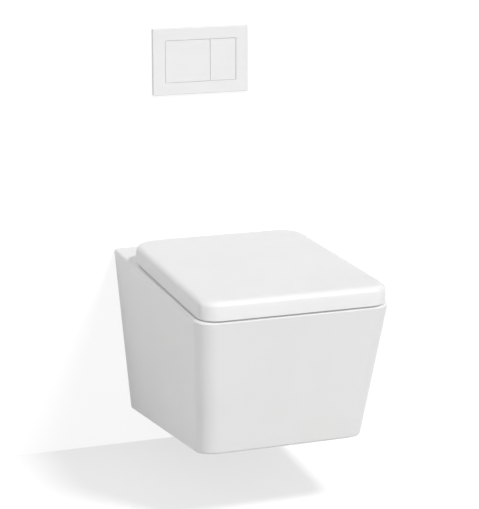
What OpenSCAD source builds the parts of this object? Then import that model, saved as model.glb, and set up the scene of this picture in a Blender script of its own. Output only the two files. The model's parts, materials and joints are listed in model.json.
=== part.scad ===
// Wall-hung toilet: ceramic pan, soft-close seat and wrap-over lid, dual flush plate,
// and the steel frame with the concealed cistern that carries and flushes it.
//
// Origin: on the floor line of the finished wall face, under the middle of the pan.
// The room is on the -Y side, the inside of the wall on the +Y side, +Z is up.
// Lengths are millimetres.

/* [Pan] */
// Width of the pan at its rim
pan_w = 375; // [355:1:390]
// Reach of the rim from the finished wall
pan_reach = 565; // [545:1:585]
// Height of the rim above the floor
rim_z = 425; // [420:1:435]
// Height of the underside above the floor, at the wall
pan_bottom_z = 76; // [66:1:84]
// Rise of the underside for each millimetre away from the wall
pan_rise = 0.148; // [0.13:0.002:0.165]
// How far the sides draw in for each millimetre of height
side_taper = 0.087; // [0.07:0.001:0.1]
// How far the front leans back for each millimetre of height
front_lean = 0.223; // [0.19:0.001:0.24]
// Radius of the upright front corners
pan_corner_r = 36; // [28:1:44]
// Rounding of the rim's edge and of the lower edge
pan_edge_r = 5; // [3:0.5:7]
// Thickness of the ceramic walls
pan_wall = 12; // [10:0.5:14]
// Thickness of the deck and rim
deck_t = 14; // [12:0.5:16]
// Thickness of the back wall that is pulled against the wall
back_t = 16; // [13:0.5:20]
// Thickness of the foam gasket between pan and wall
gasket_t = 3; // [2:0.5:5]
// Width of the hand opening in the underside
hand_hole_w = 250; // [220:1:270]

/* [Bowl] */
// Width of the bowl's mouth
bowl_w = 276; // [262:1:286]
// Distance from the wall to the back of the bowl's mouth
bowl_back = 143; // [140:1:150]
// Width of the rim in front of the bowl
rim_front_w = 44; // [40:1:55]
// Lowest point of the sump above the floor
sump_z = 145; // [143:0.5:148]
// Radius of the trapway's rising leg
trap_r = 30; // [27:0.5:32]
// Thickness of the trapway's wall
trap_wall = 10; // [8:0.5:11]

/* [Pan connections] */
// Height of the waste outlet's centre above the floor
outlet_z = 245; // [240:0.5:250]
// Height of the flush inlet above the outlet
inlet_rise = 135; // [133:0.5:137]
// Height of the fixing studs above the outlet
stud_rise = 100; // [96:0.5:104]
// Distance between the fixing studs
stud_spacing = 180; // [176:1:184]
// Diameter of the fixing studs
stud_d = 12; // [10:0.5:12.5]
// Diameter of the stud holes in the pan
stud_hole_d = 18; // [17:0.5:20]
// Outside diameter of the outlet horn
horn_d = 102; // [100:0.5:104]
// Bore of the outlet horn
horn_bore_d = 84; // [80:0.5:86]
// Distance from the wall to the end of the outlet horn
horn_inset = 8; // [6:0.5:10]
// Bore of the flush inlet in the pan
inlet_bore_d = 56; // [54:0.5:58]

/* [Seat and lid] */
// Width of the lid at its front
lid_w = 363; // [350:1:366]
// How much the lid draws in on each side towards its back
lid_draw = 4; // [0:0.5:5]
// Distance of the lid's front edge from the wall
lid_reach = 569; // [562:1:571]
// Gap between the rim and the lid's lower edge
lid_gap = 2; // [1.5:0.5:3]
// Height of the hinge axis above the rim
hinge_rise = 19.5; // [19:0.5:21]
// Distance of the hinge axis from the wall
hinge_y = 104; // [98:1:108]
// Radius of the lid's back edge round the hinge axis
lid_back_r = 17.5; // [16.5:0.25:17.75]
// Radius of the lid's upright front corners
lid_corner_r = 36; // [30:1:42]
// Radius of the lid's upright back corners
lid_back_corner_r = 52; // [40:1:56]
// Rounding of the lid's upper edge
lid_edge_r = 13; // [8:0.5:13.5]
// Thickness of the lid's skin
lid_skin = 4.5; // [4:0.25:5]
// Thickness of the seat ring
seat_t = 18; // [16:0.5:19]
// Clearance between the seat ring and the inside of the lid
seat_clear = 2; // [1.5:0.25:3]
// Width of the hole in the seat ring
seat_hole_w = 226; // [210:1:236]
// Length of the hole in the seat ring
seat_hole_l = 316; // [300:1:326]
// Distance between the hinge posts
hinge_spacing = 155; // [150:1:158]
// Width of a hinge post
post_w = 16; // [14:0.5:17]
// Diameter of the hinge pins
hinge_pin_d = 10; // [8:0.5:10.5]
// Diameter of the hinge bolts
hinge_bolt_d = 8; // [6:0.5:8.5]
// Diameter of the seat's rubber buffers
buffer_d = 16; // [12:1:20]

/* [Flush plate] */
// Width of the flush plate
plate_w = 202; // [200:1:208]
// Height of the flush plate
plate_h = 135; // [134:1:140]
// Distance of the plate's centre below the top of the frame
plate_drop = 155; // [150:1:160]
// How far the plate stands off the wall
plate_t = 8; // [7.5:0.5:9]
// Thickness of the plate's skin
plate_skin = 2.5; // [2:0.25:2.5]
// Width of the opening for the buttons
window_w = 151; // [148:0.5:152]
// Height of the opening for the buttons
window_h = 86; // [84:0.5:87]
// Distance of the line between the buttons from the middle
split_x = 20; // [16:0.5:22]
// Gap round each button
button_gap = 0.8; // [0.6:0.1:1.2]
// Travel of a button
button_travel = 6; // [5:0.5:6]
// Diameter of the push rods
push_rod_d = 5; // [4:0.5:5.5]

/* [Flush levers] */
// Height of the lever axle above the plate's centre
axle_rise = 32; // [31:0.5:33]
// Distance of the lever axle behind the wall face
axle_y = 52; // [51.5:0.5:52.5]
// Diameter of the lever axle
axle_d = 6; // [5:0.5:6.5]
// Distance of the full flush lever from the middle, to the left
full_x = 28; // [27:0.5:29]
// Distance of the half flush lever from the middle, to the right
half_x = 55; // [54:0.5:56]
// Width of a lever's arms
lever_w = 8; // [7:0.5:8]

/* [Cistern] */
// Width of the tank
tank_w = 400; // [396:1:404]
// Depth of the tank
tank_d = 120; // [118:1:124]
// Distance of the tank's front behind the wall face
tank_y = 40; // [39:0.5:40.5]
// Distance of the tank's top below the top of the frame
tank_drop = 58; // [55:1:62]
// Height of the tank
tank_h = 312; // [308:1:322]
// Thickness of the tank's wall
tank_wall = 4; // [3:0.5:4.5]
// Radius of the tank's upright edges
tank_edge_r = 14; // [10:1:18]
// Half width of the access opening
access_hw = 84; // [83.5:0.5:85]
// Half height of the access opening
access_hh = 52; // [51.5:0.5:53]
// Thickness of the access shaft's wall
shaft_wall = 3; // [2.5:0.5:3.5]

/* [Flush valve] */
// Distance of the flush valve's centre behind the wall face
valve_y = 100; // [99.5:0.5:100.5]
// Outside diameter of the valve basket
basket_d = 80; // [76:1:80]
// Height of the valve basket above its flange
basket_h = 100; // [96:1:106]
// Outside diameter of the overflow tube
overflow_d = 44; // [40:1:44]
// Wall of the overflow tube
overflow_wall = 3; // [2:0.5:3.5]
// Lift of the overflow tube at full flush
valve_lift = 9; // [8:0.5:9]
// Diameter of the half flush rod
half_rod_d = 8; // [7:0.5:8.5]

/* [Water supply] */
// Height of the supply line below the plate's centre
supply_drop = 25; // [24:0.5:26]
// Distance of the supply line behind the wall face
supply_y = 88; // [87.5:0.5:88.5]
// Outside diameter of the supply thread
supply_thread_d = 21; // [20.9:0.05:21.2]
// Distance of the fill valve from the middle, to the left
fill_x = 140; // [139:0.5:141]
// Distance of the fill valve's stem behind the wall face
fill_y = 112; // [111.5:0.5:113]
// Diameter of the fill valve's stem
stem_d = 20; // [18:0.5:20.5]
// Diameter of the float
float_d = 60; // [56:1:62]
// Height of the float
float_h = 60; // [55:1:62]

/* [Flush and waste pipes] */
// Outside diameter of the flush bend
flush_bend_d = 56; // [54:0.5:56]
// Wall of the flush bend
flush_wall = 3; // [2.5:0.25:3]
// Centre line radius of the flush bend
flush_bend_r = 50; // [48:0.5:52]
// Outside diameter of the flush connector
flush_conn_d = 45; // [43:0.5:45]
// Outside diameter of the waste pipe
waste_d = 90; // [88:0.5:91]
// Wall of the waste pipe
waste_wall = 3; // [2.5:0.25:3.5]
// Centre line radius of the waste bend
waste_bend_r = 52; // [52:0.5:54]
// Height of the waste pipe's lower end above the floor
waste_end_z = 40; // [30:1:60]

/* [Frame] */
// Height of the frame above the floor
frame_h = 960; // [950:1:975]
// Distance of an upright's centre from the middle
upright_x = 230; // [228:0.5:232]
// Side of an upright's square section
upright_w = 40; // [39:0.5:41]
// Distance of the frame's front behind the wall face
frame_y = 25; // [24.5:0.5:25.5]
// Wall of the steel sections
steel_t = 2; // [1.5:0.25:2.5]
// Height of the uprights' lower ends above the floor
upright_z = 130; // [129:1:134]
// Side of a leg's square section
leg_w = 34; // [32:0.5:34.5]
// Thickness of a foot plate
foot_t = 8; // [6:0.5:10]
// Distance between the two holes in a foot plate
foot_hole_spacing = 76; // [70:1:80]
// Diameter of the holes in the foot plates
foot_hole_d = 10; // [9:0.5:11]
// Height of the lower crossbar's underside above the floor
lower_bar_z = 150; // [149:0.5:151]
// Thickness of the pan mounting plate
mount_plate_t = 5; // [4.5:0.5:5.5]
// Distance of the pan mounting plate behind the wall face
mount_plate_y = 45; // [44:0.5:45.5]
// Distance of the building wall behind the finished face
building_y = 170; // [168:1:174]
// Diameter of the wall bracket's anchor hole
anchor_hole_d = 11; // [10:0.5:12]

/* [Hidden] */
$fn = 48;

// Colours
ceramic_white = [0.95, 0.95, 0.95];
seat_white = [0.93, 0.93, 0.93];
rubber_black = [0.12, 0.12, 0.12];
foam_grey = [0.6, 0.6, 0.62];
steel_grey = [0.72, 0.73, 0.75];
frame_blue = [0.16, 0.28, 0.46];
tank_grey = [0.25, 0.27, 0.3];
valve_blue = [0.25, 0.45, 0.7];
plain_plastic = [0.85, 0.86, 0.87];
waste_black = [0.08, 0.08, 0.09];
brass_gold = [0.78, 0.62, 0.33];

thin = 0.1;           // thickness of the outlines that a lofted form is stretched over
arc_steps = 7;        // points along a rounded corner
hull_fn = 32;         // facets of round outlines inside a lofted form
over = 1;             // how far a cutter runs past the face that it cuts
seat_play = 0.3;      // clearance between a piece and the seat that it rests against
pin_play = 0.08;      // radial clearance of a pin in its bore

// Heights and lines that several pieces share
inlet_z = outlet_z + inlet_rise;
stud_z = outlet_z + stud_rise;
stud_x = stud_spacing / 2;
hinge_x = hinge_spacing / 2;
hinge_z = rim_z + hinge_rise;
lid_z = rim_z + lid_gap;
lid_top_z = hinge_z + lid_back_r;
plate_z = frame_h - plate_drop;
tank_z = frame_h - tank_drop - tank_h;
axle_z = plate_z + axle_rise;
supply_z = plate_z - supply_drop;
tank_top_z = tank_z + tank_h;
tank_floor_z = tank_z + tank_wall;
valve_bore_r = overflow_d / 2;

// ---------- Shared shapes ----------

// Points of an arc round [x, y], from angle a to angle b
function arc(x, y, r, a, b) =
    [for (i = [0:arc_steps]) let (t = a + (b - a) * i / arc_steps) [x + r * cos(t), y + r * sin(t)]];

// Outline from y_back to y_front, whose half width may differ at the two ends
function plan(hw_back, hw_front, y_back, y_front, r_back, r_front) = concat(
    arc(hw_back - r_back, y_back - r_back, r_back, 0, 90),
    arc(-hw_back + r_back, y_back - r_back, r_back, 90, 180),
    arc(-hw_front + r_front, y_front + r_front, r_front, 180, 270),
    arc(hw_front - r_front, y_front + r_front, r_front, 270, 360));

// Outline of a w by h panel with rounded corners
function panel_plan(w, h, r) = plan(w / 2, w / 2, h / 2, -h / 2, r, r);

// Turns a shape that stands on the XY plane so that it points along +Y or +X
module along_y() rotate([-90, 0, 0]) children();
module along_x() rotate([0, 90, 0]) children();

// Repeats a shape on the left of the middle plane
module both_sides() {
    children();
    mirror([1, 0, 0]) children();
}

// Pipe along Z
module pipe(r_out, r_in, h) {
    difference() {
        cylinder(r = r_out, h = h);
        translate([0, 0, -over]) cylinder(r = r_in, h = h + 2 * over);
    }
}

// Pipe along Y from y0 to y1
module pipe_y(r_out, r_in, y0, y1) translate([0, y0, 0]) along_y() pipe(r_out, r_in, y1 - y0);

// Rod along Y from y0 to y1
module rod_y(r, y0, y1) translate([0, y0, 0]) along_y() cylinder(r = r, h = y1 - y0);

// Rod along X from x0 to x1
module rod_x(r, x0, x1) translate([x0, 0, 0]) along_x() cylinder(r = r, h = x1 - x0);

// Box between two corners
module block(a, b) translate(a) cube(b - a);

// Hexagonal nut along Z with a round bore
module hex_nut(across, bore_r, h) {
    difference() {
        cylinder(d = across / cos(30), h = h, $fn = 6);
        translate([0, 0, -over]) cylinder(r = bore_r, h = h + 2 * over);
    }
}

// Rod of radius r between two points of the middle plane, each [y, z], with a ball at its start
module leg_between(p, q, r) {
    run = q - p;
    translate([0, p[0], p[1]]) {
        rotate([-atan2(run[0], run[1]), 0, 0]) cylinder(r = r, h = norm(run));
        sphere(r = r + joint_swell);
    }
}
joint_swell = 0.4;    // keeps a ball from lying tangent to the pipe that it joins

// ---------- Pan ----------

pan_back = -gasket_t;
hollow_back = pan_back - back_t;
function pan_hw(z) = pan_w / 2 - side_taper * (rim_z - z);
function pan_front(z) = -pan_reach + front_lean * (rim_z - z);
// Where the leaning front meets the rising underside
pan_nose_z = (pan_bottom_z + pan_rise * (pan_reach - front_lean * rim_z)) / (1 - pan_rise * front_lean);

// The pan's outer form, drawn in by inset, from its back plane to its leaning front
module pan_form(inset, y_back, top_z) {
    edge = pan_edge_r;
    hull() {
        // Rim, with a rounded edge
        for (t = [0:30:90])
            translate([0, 0, top_z - edge + edge * sin(t) - thin])
                linear_extrude(thin)
                    polygon(plan(
                        pan_hw(top_z) - inset - edge * (1 - cos(t)), pan_hw(top_z) - inset - edge * (1 - cos(t)),
                        y_back, pan_front(top_z) + inset + edge * (1 - cos(t)), 2, pan_corner_r - inset));
        // Underside, in the plane that rises towards the front
        for (t = [0, 45, 90])
            multmatrix([[1, 0, 0, 0], [0, 1, 0, 0], [0, -pan_rise, 1, pan_bottom_z + inset + edge * (1 - sin(t))]])
                linear_extrude(thin)
                    polygon(plan(
                        pan_hw(pan_bottom_z) - inset - edge * (1 - cos(t)),
                        pan_hw(pan_nose_z) - inset - edge * (1 - cos(t)),
                        y_back, pan_front(pan_nose_z) + inset + edge * (1 - cos(t)), 2, pan_corner_r - inset));
    }
}

// Heights of the bowl's sections, as shares of its depth, with half width, back and front at each
bowl_front = -(pan_reach - rim_front_w);
bowl_depth = rim_z - sump_z;
function bowl_section(depth, hw, back_in, front_in) = [rim_z - depth * bowl_depth, hw, -bowl_back - back_in, bowl_front + front_in];
bowl_sections = [
    bowl_section(-0.01, bowl_w / 2 - 3, 4, 5),
    bowl_section(0.03, bowl_w / 2, 0, 0),
    bowl_section(0.1, bowl_w / 2 + 1, 0, 0),
    bowl_section(0.34, bowl_w * 0.425, 38, 41),
    bowl_section(0.59, bowl_w * 0.31, 79, 97),
    bowl_section(0.8, bowl_w * 0.205, 115, 151),
    bowl_section(0.91, bowl_w * 0.15, 135, 180),
    bowl_section(1, bowl_w * 0.08, 157, 204)
];

// The bowl's form, grown by wall
module bowl_form(wall) {
    hull() for (s = bowl_sections) {
        half_l = (s[2] - s[3]) / 2 + wall;
        low = s == bowl_sections[len(bowl_sections) - 1];
        translate([0, (s[2] + s[3]) / 2, min(s[0], rim_z - wall * 0.2) - (low ? wall : 0)])
            scale([(s[1] + wall) / half_l, 1, 1])
                cylinder(r = half_l, h = thin, $fn = 1.5 * hull_fn);
    }
}

// Centre line of the trapway: sump, foot of the rising leg, crest, outlet
trap_low_z = pan_bottom_z + pan_rise * 300 + trap_r + trap_wall + 3;
trap_line = [[-300, trap_low_z], [-212, trap_low_z + 2], [-162, outlet_z + 32], [-116, outlet_z]];

// The trapway, grown by wall, from the sump to the horn's end
module trapway(wall, horn_r, horn_end) {
    for (i = [0:2]) leg_between(trap_line[i], trap_line[i + 1], trap_r + wall);
    translate([0, trap_line[3][0], trap_line[3][1]]) sphere(r = trap_r + wall + joint_swell);
    translate([0, 0, outlet_z]) rod_y(horn_r, trap_line[3][0] - 6 - wall, horn_end);
}

horn_pocket_r = horn_d / 2 + 17;
inlet_boss_r = inlet_bore_d / 2 + 11;
inlet_depth = 60;
rim_jet_r = 20;
jet_wall_r = rim_z - deck_t - inlet_z + over;
hinge_hole_r = hinge_bolt_d / 2 + 2;
hand_hole_y = [hollow_back - 6, -112];

// The pan is one casting. It is drawn as three pieces that meet face to face: the outer walls
// with the deck, the bowl with its flush channel, and the trapway with its outlet horn.

// Outer walls, back wall and deck, before the bowl's mouth is cut
module pan_walls() {
    difference() {
        pan_form(0, pan_back, rim_z);
        pan_form(pan_wall, hollow_back, rim_z - deck_t);
        // Hole in the back wall round the horn, and the hand opening below it
        translate([0, 0, outlet_z]) rod_y(horn_pocket_r, hollow_back - over, pan_back + over);
        block([-hand_hole_w / 2, hand_hole_y[1], pan_bottom_z - 30], [hand_hole_w / 2, hand_hole_y[0], pan_bottom_z + 60]);
    }
}

// Water channel from the flush inlet into the back of the bowl
module flush_channel() translate([0, 0, inlet_z]) {
    rod_y(inlet_bore_d / 2, -inlet_depth, over);
    rod_y(rim_jet_r, -bowl_back - 60, -inlet_depth + over);
}

module pan() color(ceramic_white) {
    difference() {
        pan_walls();
        bowl_form(0);
        flush_channel();
        both_sides() {
            translate([stud_x, 0, stud_z]) rod_y(stud_hole_d / 2, hollow_back - over, pan_back + over);
            translate([hinge_x, -hinge_y, rim_z - deck_t - over]) cylinder(r = hinge_hole_r, h = deck_t + 2 * over);
        }
    }
}

module pan_bowl() color(ceramic_white) {
    difference() {
        union() {
            bowl_form(pan_wall);
            translate([0, 0, inlet_z]) {
                rod_y(inlet_boss_r, -inlet_depth - trap_wall, hollow_back);
                rod_y(jet_wall_r, -bowl_back - 30, -inlet_depth);
            }
        }
        pan_walls();
        bowl_form(0);
        trapway(0, horn_bore_d / 2, over);
        flush_channel();
    }
}

module pan_trapway() color(ceramic_white) {
    difference() {
        trapway(trap_wall, horn_d / 2, -horn_inset);
        pan_walls();
        bowl_form(pan_wall);
        trapway(0, horn_bore_d / 2, over);
    }
}

gasket_inset = 8;
module wall_gasket() color(foam_grey) {
    difference() {
        rotate([90, 0, 0]) linear_extrude(gasket_t) polygon([
            [-pan_hw(rim_z) + gasket_inset, rim_z - gasket_inset],
            [-pan_hw(pan_bottom_z) + gasket_inset, pan_bottom_z + gasket_inset],
            [pan_hw(pan_bottom_z) - gasket_inset, pan_bottom_z + gasket_inset],
            [pan_hw(rim_z) - gasket_inset, rim_z - gasket_inset]]);
        translate([0, 0, outlet_z]) rod_y(horn_pocket_r, -gasket_t - over, over);
        translate([0, 0, inlet_z]) rod_y(inlet_boss_r - 8, -gasket_t - over, over);
        both_sides() translate([stud_x, 0, stud_z]) rod_y(stud_hole_d / 2, -gasket_t - over, over);
    }
}

// ---------- Pan fixing ----------

bush_flange_t = 3;
bush_flange_w = 5;
bush_play = 0.1;
washer_t = 2;
nut_h = 10;
nut_across = 19;
stud_r = stud_d / 2;
nut_y = hollow_back - bush_flange_t - washer_t - nut_h;

module pan_bushes() color(plain_plastic) both_sides() translate([stud_x, 0, stud_z]) {
    pipe_y(stud_hole_d / 2 - bush_play, stud_r + bush_play, hollow_back, pan_back);
    pipe_y(stud_hole_d / 2 + bush_flange_w, stud_r + bush_play, hollow_back - bush_flange_t, hollow_back);
}

module pan_nuts() color(steel_grey) both_sides() translate([stud_x, 0, stud_z]) {
    pipe_y(nut_across / 2 + bush_flange_w, stud_r + 2 * bush_play, nut_y + nut_h, nut_y + nut_h + washer_t);
    translate([0, nut_y, 0]) along_y() hex_nut(nut_across, stud_r + pin_play, nut_h);
}

rod_stick_out = 12;    // how far a rod shows past the pan's nut
rod_tail = 8;         // how far it shows behind the mounting plate's nut
rod_front = nut_y - rod_stick_out;
rod_back = mount_plate_y + mount_plate_t + nut_h + rod_tail;
rod_tip = 1.5;
module threaded_rods() color(steel_grey) both_sides() translate([stud_x, 0, stud_z]) {
    rod_y(stud_r, rod_front, rod_back);
    translate([0, rod_front, 0]) rotate([90, 0, 0]) cylinder(r1 = stud_r, r2 = stud_r - rod_tip, h = rod_tip);
}

module rod_nuts() color(steel_grey) both_sides() translate([stud_x, 0, stud_z])
    for (y = [mount_plate_y - nut_h, mount_plate_y + mount_plate_t])
        translate([0, y, 0]) along_y() hex_nut(nut_across, stud_r + pin_play, nut_h);

sleeve_wall = 2;
module rod_sleeves() color(plain_plastic) both_sides() translate([stud_x, 0, stud_z])
    pipe_y(stud_r + seat_play + sleeve_wall, stud_r + seat_play, 0, mount_plate_y - nut_h);

// ---------- Hinges ----------

post_base_r = post_w / 2 + 1.5;
post_base_t = 4;
pin_r = hinge_pin_d / 2;
bolt_r = hinge_bolt_d / 2;
knuckle_r = pin_r + 5;
knuckle_gap = 1;
seat_knuckle_x = [hinge_x - post_w / 2 - knuckle_gap - 16, hinge_x - post_w / 2 - knuckle_gap];
lid_knuckle_x = [hinge_x + post_w / 2 + knuckle_gap + 1.5, hinge_x + post_w / 2 + knuckle_gap + 17.5];
bolt_grip = 9;        // how far a hinge bolt reaches into its post
hinge_nut_h = 10;
hinge_washer_t = 2;

module hinge_posts() color(steel_grey) both_sides() translate([hinge_x, -hinge_y, 0]) {
    difference() {
        union() {
            translate([0, 0, rim_z]) cylinder(r = post_base_r, h = post_base_t);
            block([-post_w / 2, -post_w / 2, rim_z + post_base_t], [post_w / 2, post_w / 2, hinge_z]);
            translate([0, 0, hinge_z]) rod_x(post_w / 2, -post_w / 2, post_w / 2);
        }
        translate([0, 0, hinge_z]) rod_x(pin_r + pin_play, -post_w, post_w);
        translate([0, 0, rim_z - over]) cylinder(r = bolt_r + pin_play, h = bolt_grip + over + 0.5);
    }
}

module hinge_pins() color(steel_grey) both_sides() translate([0, -hinge_y, hinge_z])
    rod_x(pin_r, seat_knuckle_x[0] + 1, lid_knuckle_x[1] - 1);

module hinge_bolts() color(steel_grey) both_sides()
    translate([hinge_x, -hinge_y, rim_z - deck_t - hinge_washer_t - hinge_nut_h - 6])
        cylinder(r = bolt_r, h = deck_t + hinge_washer_t + hinge_nut_h + 6 + bolt_grip);

module hinge_nuts() color(plain_plastic) both_sides() translate([hinge_x, -hinge_y, rim_z - deck_t - hinge_washer_t]) {
    pipe(hinge_hole_r + 5, bolt_r + 0.2, hinge_washer_t);
    translate([0, 0, -hinge_nut_h]) hex_nut(15, bolt_r + pin_play, hinge_nut_h);
}

// ---------- Seat ring ----------

seat_hw = lid_w / 2 - lid_skin - seat_clear;
seat_front = -(lid_reach - lid_skin - seat_clear);
seat_back = -hinge_y - lid_back_r - 2.5;
seat_top_z = lid_z + seat_t;
seat_edge = 4;
seat_back_r = lid_back_corner_r - 18;
seat_hole_y = seat_front + 54 + seat_hole_l / 2;

// Hole of the seat ring, flared towards the top so that its edge is rounded
module seat_hole() {
    hull() for (s = [[-0.2, 0], [0.45, 0], [0.75, 2], [0.92, 5.5], [1.02, 11]])
        translate([0, seat_hole_y, lid_z + s[0] * seat_t])
            scale([(seat_hole_w / 2 + s[1]) / (seat_hole_l / 2 + s[1]), 1, 1])
                cylinder(r = seat_hole_l / 2 + s[1], h = thin, $fn = 2 * hull_fn);
}

module seat_ring() color(seat_white) {
    difference() {
        union() {
            difference() {
                hull() for (s = [[0, 1.5], [1.5, 0.1], [seat_t - seat_edge, 0], [seat_t - seat_edge * 0.3, seat_edge * 0.3], [seat_t, seat_edge]])
                    translate([0, 0, lid_z + s[0] - (s[0] == seat_t ? thin : 0)]) linear_extrude(thin)
                        polygon(plan(seat_hw - lid_draw - s[1], seat_hw - s[1], seat_back - s[1], seat_front + s[1],
                                     seat_back_r, lid_corner_r - lid_skin - seat_clear));
                seat_hole();
            }
            both_sides() {
                translate([0, -hinge_y, hinge_z]) rod_x(knuckle_r, seat_knuckle_x[0], seat_knuckle_x[1]);
                block([seat_knuckle_x[0], seat_back - 12, hinge_z - knuckle_r],
                      [seat_knuckle_x[1], -hinge_y, min(hinge_z + knuckle_r, seat_top_z) - 1.5]);
            }
        }
        both_sides() translate([0, -hinge_y, hinge_z]) rod_x(pin_r + pin_play, seat_knuckle_x[0] - over, seat_knuckle_x[1] + over);
    }
}

buffer_r = buffer_d / 2;
seat_buffer_x = seat_hw - 24;
seat_buffer_y = [seat_back - 60, seat_front + 62];
module seat_buffers() color(rubber_black) both_sides() for (y = seat_buffer_y)
    translate([seat_buffer_x, y, rim_z]) cylinder(r1 = buffer_r - 1, r2 = buffer_r, h = lid_gap);

// ---------- Lid ----------

// The lid's form, drawn in by skin: sides, rounded upper edge, and a back edge round the hinge axis
module lid_form(skin, z_low) {
    back_r = lid_back_r - skin;
    top = lid_top_z - skin;
    edge = lid_edge_r;
    function back_at(z) = -hinge_y + sqrt(max(0, back_r * back_r - (z - hinge_z) * (z - hinge_z)));
    function edge_in(z) = z < top - edge ? 0 : edge - sqrt(max(0, edge * edge - pow(z - top + edge, 2)));
    levels = concat([z_low], [for (k = [0.75:-0.15:0]) hinge_z - back_r * k], [for (t = [15:15:90]) top - edge + edge * sin(t)]);
    hull() for (z = levels) {
        hw = lid_w / 2 - skin - edge_in(z);
        translate([0, 0, z - (z > hinge_z ? thin : 0)]) linear_extrude(thin)
            polygon(plan(hw - lid_draw, hw, back_at(z), -lid_reach + skin + edge_in(z),
                         lid_back_corner_r - skin - edge_in(z), lid_corner_r - skin - edge_in(z)));
    }
}

// Gap in the lid's back edge that clears a hinge post and the seat's knuckle when the lid opens
notch_x = [seat_knuckle_x[0] - 2, lid_knuckle_x[0]];
notch_top_z = lid_top_z - lid_skin + 0.4;

module lid() color(seat_white) {
    difference() {
        union() {
            difference() {
                lid_form(0, lid_z);
                lid_form(lid_skin, lid_z - over);
                both_sides() block([notch_x[0], -hinge_y - 2, lid_z - 2 * over], [notch_x[1], -hinge_y + lid_back_r + over, notch_top_z]);
            }
            both_sides() {
                translate([0, -hinge_y, hinge_z]) rod_x(knuckle_r, lid_knuckle_x[0], lid_knuckle_x[1]);
                block([lid_knuckle_x[0], -hinge_y - knuckle_r, hinge_z],
                      [lid_knuckle_x[1], -hinge_y + 4, lid_top_z - lid_skin + 1]);
            }
        }
        both_sides() translate([0, -hinge_y, hinge_z]) rod_x(pin_r + pin_play, lid_knuckle_x[0] - over, lid_knuckle_x[1] + over);
    }
}

lid_buffer_r = buffer_r - 1;
lid_buffer_y = [seat_back - 95, seat_front + 100];
module lid_buffers() color(rubber_black) both_sides() for (y = lid_buffer_y)
    translate([seat_buffer_x, y, seat_top_z + seat_play])
        cylinder(r1 = lid_buffer_r - 1.5, r2 = lid_buffer_r, h = lid_top_z - lid_skin - seat_top_z - seat_play);

// ---------- Flush plate ----------

plate_edge = 0.8;
plate_corner_r = 1.5;
lip_t = 1.5;
carrier_flange_t = 3;
carrier_depth = 12;
carrier_hw = access_hw - 6.4;
carrier_hh = access_hh - 6.4;
carrier_wall = 1.6;
carrier_flange_hw = plate_w / 2 - plate_skin - 3.5;
carrier_flange_hh = plate_h / 2 - plate_skin - 3;

// Panel on the wall face, w by h, standing t off the wall
module wall_panel(w, h, r, t) translate([0, 0, plate_z]) rotate([90, 0, 0]) linear_extrude(t) polygon(panel_plan(w, h, r));

module flush_plate() color(seat_white) {
    difference() {
        union() {
            difference() {
                hull() {
                    wall_panel(plate_w, plate_h, plate_corner_r, plate_t - plate_edge);
                    wall_panel(plate_w - 2 * plate_edge, plate_h - 2 * plate_edge, plate_corner_r, plate_t);
                }
                translate([0, over, 0])
                    wall_panel(plate_w - 2 * plate_skin, plate_h - 2 * plate_skin, plate_corner_r, plate_t - plate_skin + over);
            }
            // Lip round the opening, and blocks that hold the plate on its carrier
            translate([0, -carrier_flange_t - seat_play, 0])
                wall_panel(window_w + 2 * lip_t, window_h + 2 * lip_t, plate_corner_r, plate_t - carrier_flange_t - seat_play - over);
            both_sides() for (z = [-20, 20])
                block([carrier_flange_hw + seat_play, -plate_t + over, plate_z + z - 5], [plate_w / 2 - over, 0, plate_z + z + 5]);
        }
        translate([0, over, 0]) wall_panel(window_w, window_h, plate_corner_r - 1, plate_t + 2 * over);
    }
}

button_front = -plate_t + 0.6;
button_t = 2;
button_wall = 1.6;
button_depth = 9;
button_boss_r = push_rod_d / 2 + 2.5;
button_hh = window_h / 2 - button_gap;
full_span = [-window_w / 2 + button_gap, split_x - button_gap / 2];
half_span = [split_x + button_gap / 2, window_w / 2 - button_gap];

// A hollow button between two X values, with a boss for its push rod
module button(span, rod_x) {
    difference() {
        union() {
            difference() {
                block([span[0], button_front, plate_z - button_hh], [span[1], button_front + button_depth, plate_z + button_hh]);
                block([span[0] + button_wall, button_front + button_t, plate_z - button_hh + button_wall],
                      [span[1] - button_wall, button_front + button_depth + over, plate_z + button_hh - button_wall]);
            }
            translate([rod_x, 0, plate_z]) rod_y(button_boss_r, button_front + button_t - thin, button_front + button_depth);
        }
        translate([rod_x, 0, plate_z]) rod_y(push_rod_d / 2 + pin_play, button_front + button_t, button_front + button_depth + over);
    }
}

module full_button() color(seat_white) button(full_span, -full_x);
module half_button() color(seat_white) button(half_span, half_x);

lever_arm_t = 5;
rod_tip_y = axle_y - lever_arm_t / 2 - seat_play;
module push_rod(x) color(plain_plastic) translate([x, 0, plate_z])
    rod_y(push_rod_d / 2, button_front + button_t + 0.2, rod_tip_y);
module full_push_rod() push_rod(-full_x);
module half_push_rod() push_rod(half_x);

screw_x = access_hw - 3;
screw_r = 1.8;
module plate_carrier() color(plain_plastic) {
    difference() {
        union() {
            wall_panel(2 * carrier_flange_hw, 2 * carrier_flange_hh, 3, carrier_flange_t);
            translate([0, carrier_depth, 0]) wall_panel(2 * carrier_hw, 2 * carrier_hh, 1, carrier_depth + over);
        }
        translate([0, carrier_depth - carrier_wall, 0])
            wall_panel(2 * (carrier_hw - carrier_wall), 2 * (carrier_hh - carrier_wall), 1, carrier_depth + carrier_flange_t + over);
        for (x = [-full_x, half_x]) translate([x, 0, plate_z]) rod_y(push_rod_d / 2 + 0.3, 0, carrier_depth + over);
        both_sides() translate([screw_x, 0, plate_z]) rod_y(screw_r + 0.3, -carrier_flange_t - over, over);
    }
}

module carrier_screws() color(steel_grey) both_sides() translate([screw_x, 0, plate_z]) {
    rod_y(screw_r, -carrier_flange_t, 24);
    rod_y(screw_r + 2, -carrier_flange_t - 1.8, -carrier_flange_t);
}

// ---------- Flush levers ----------

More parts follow.
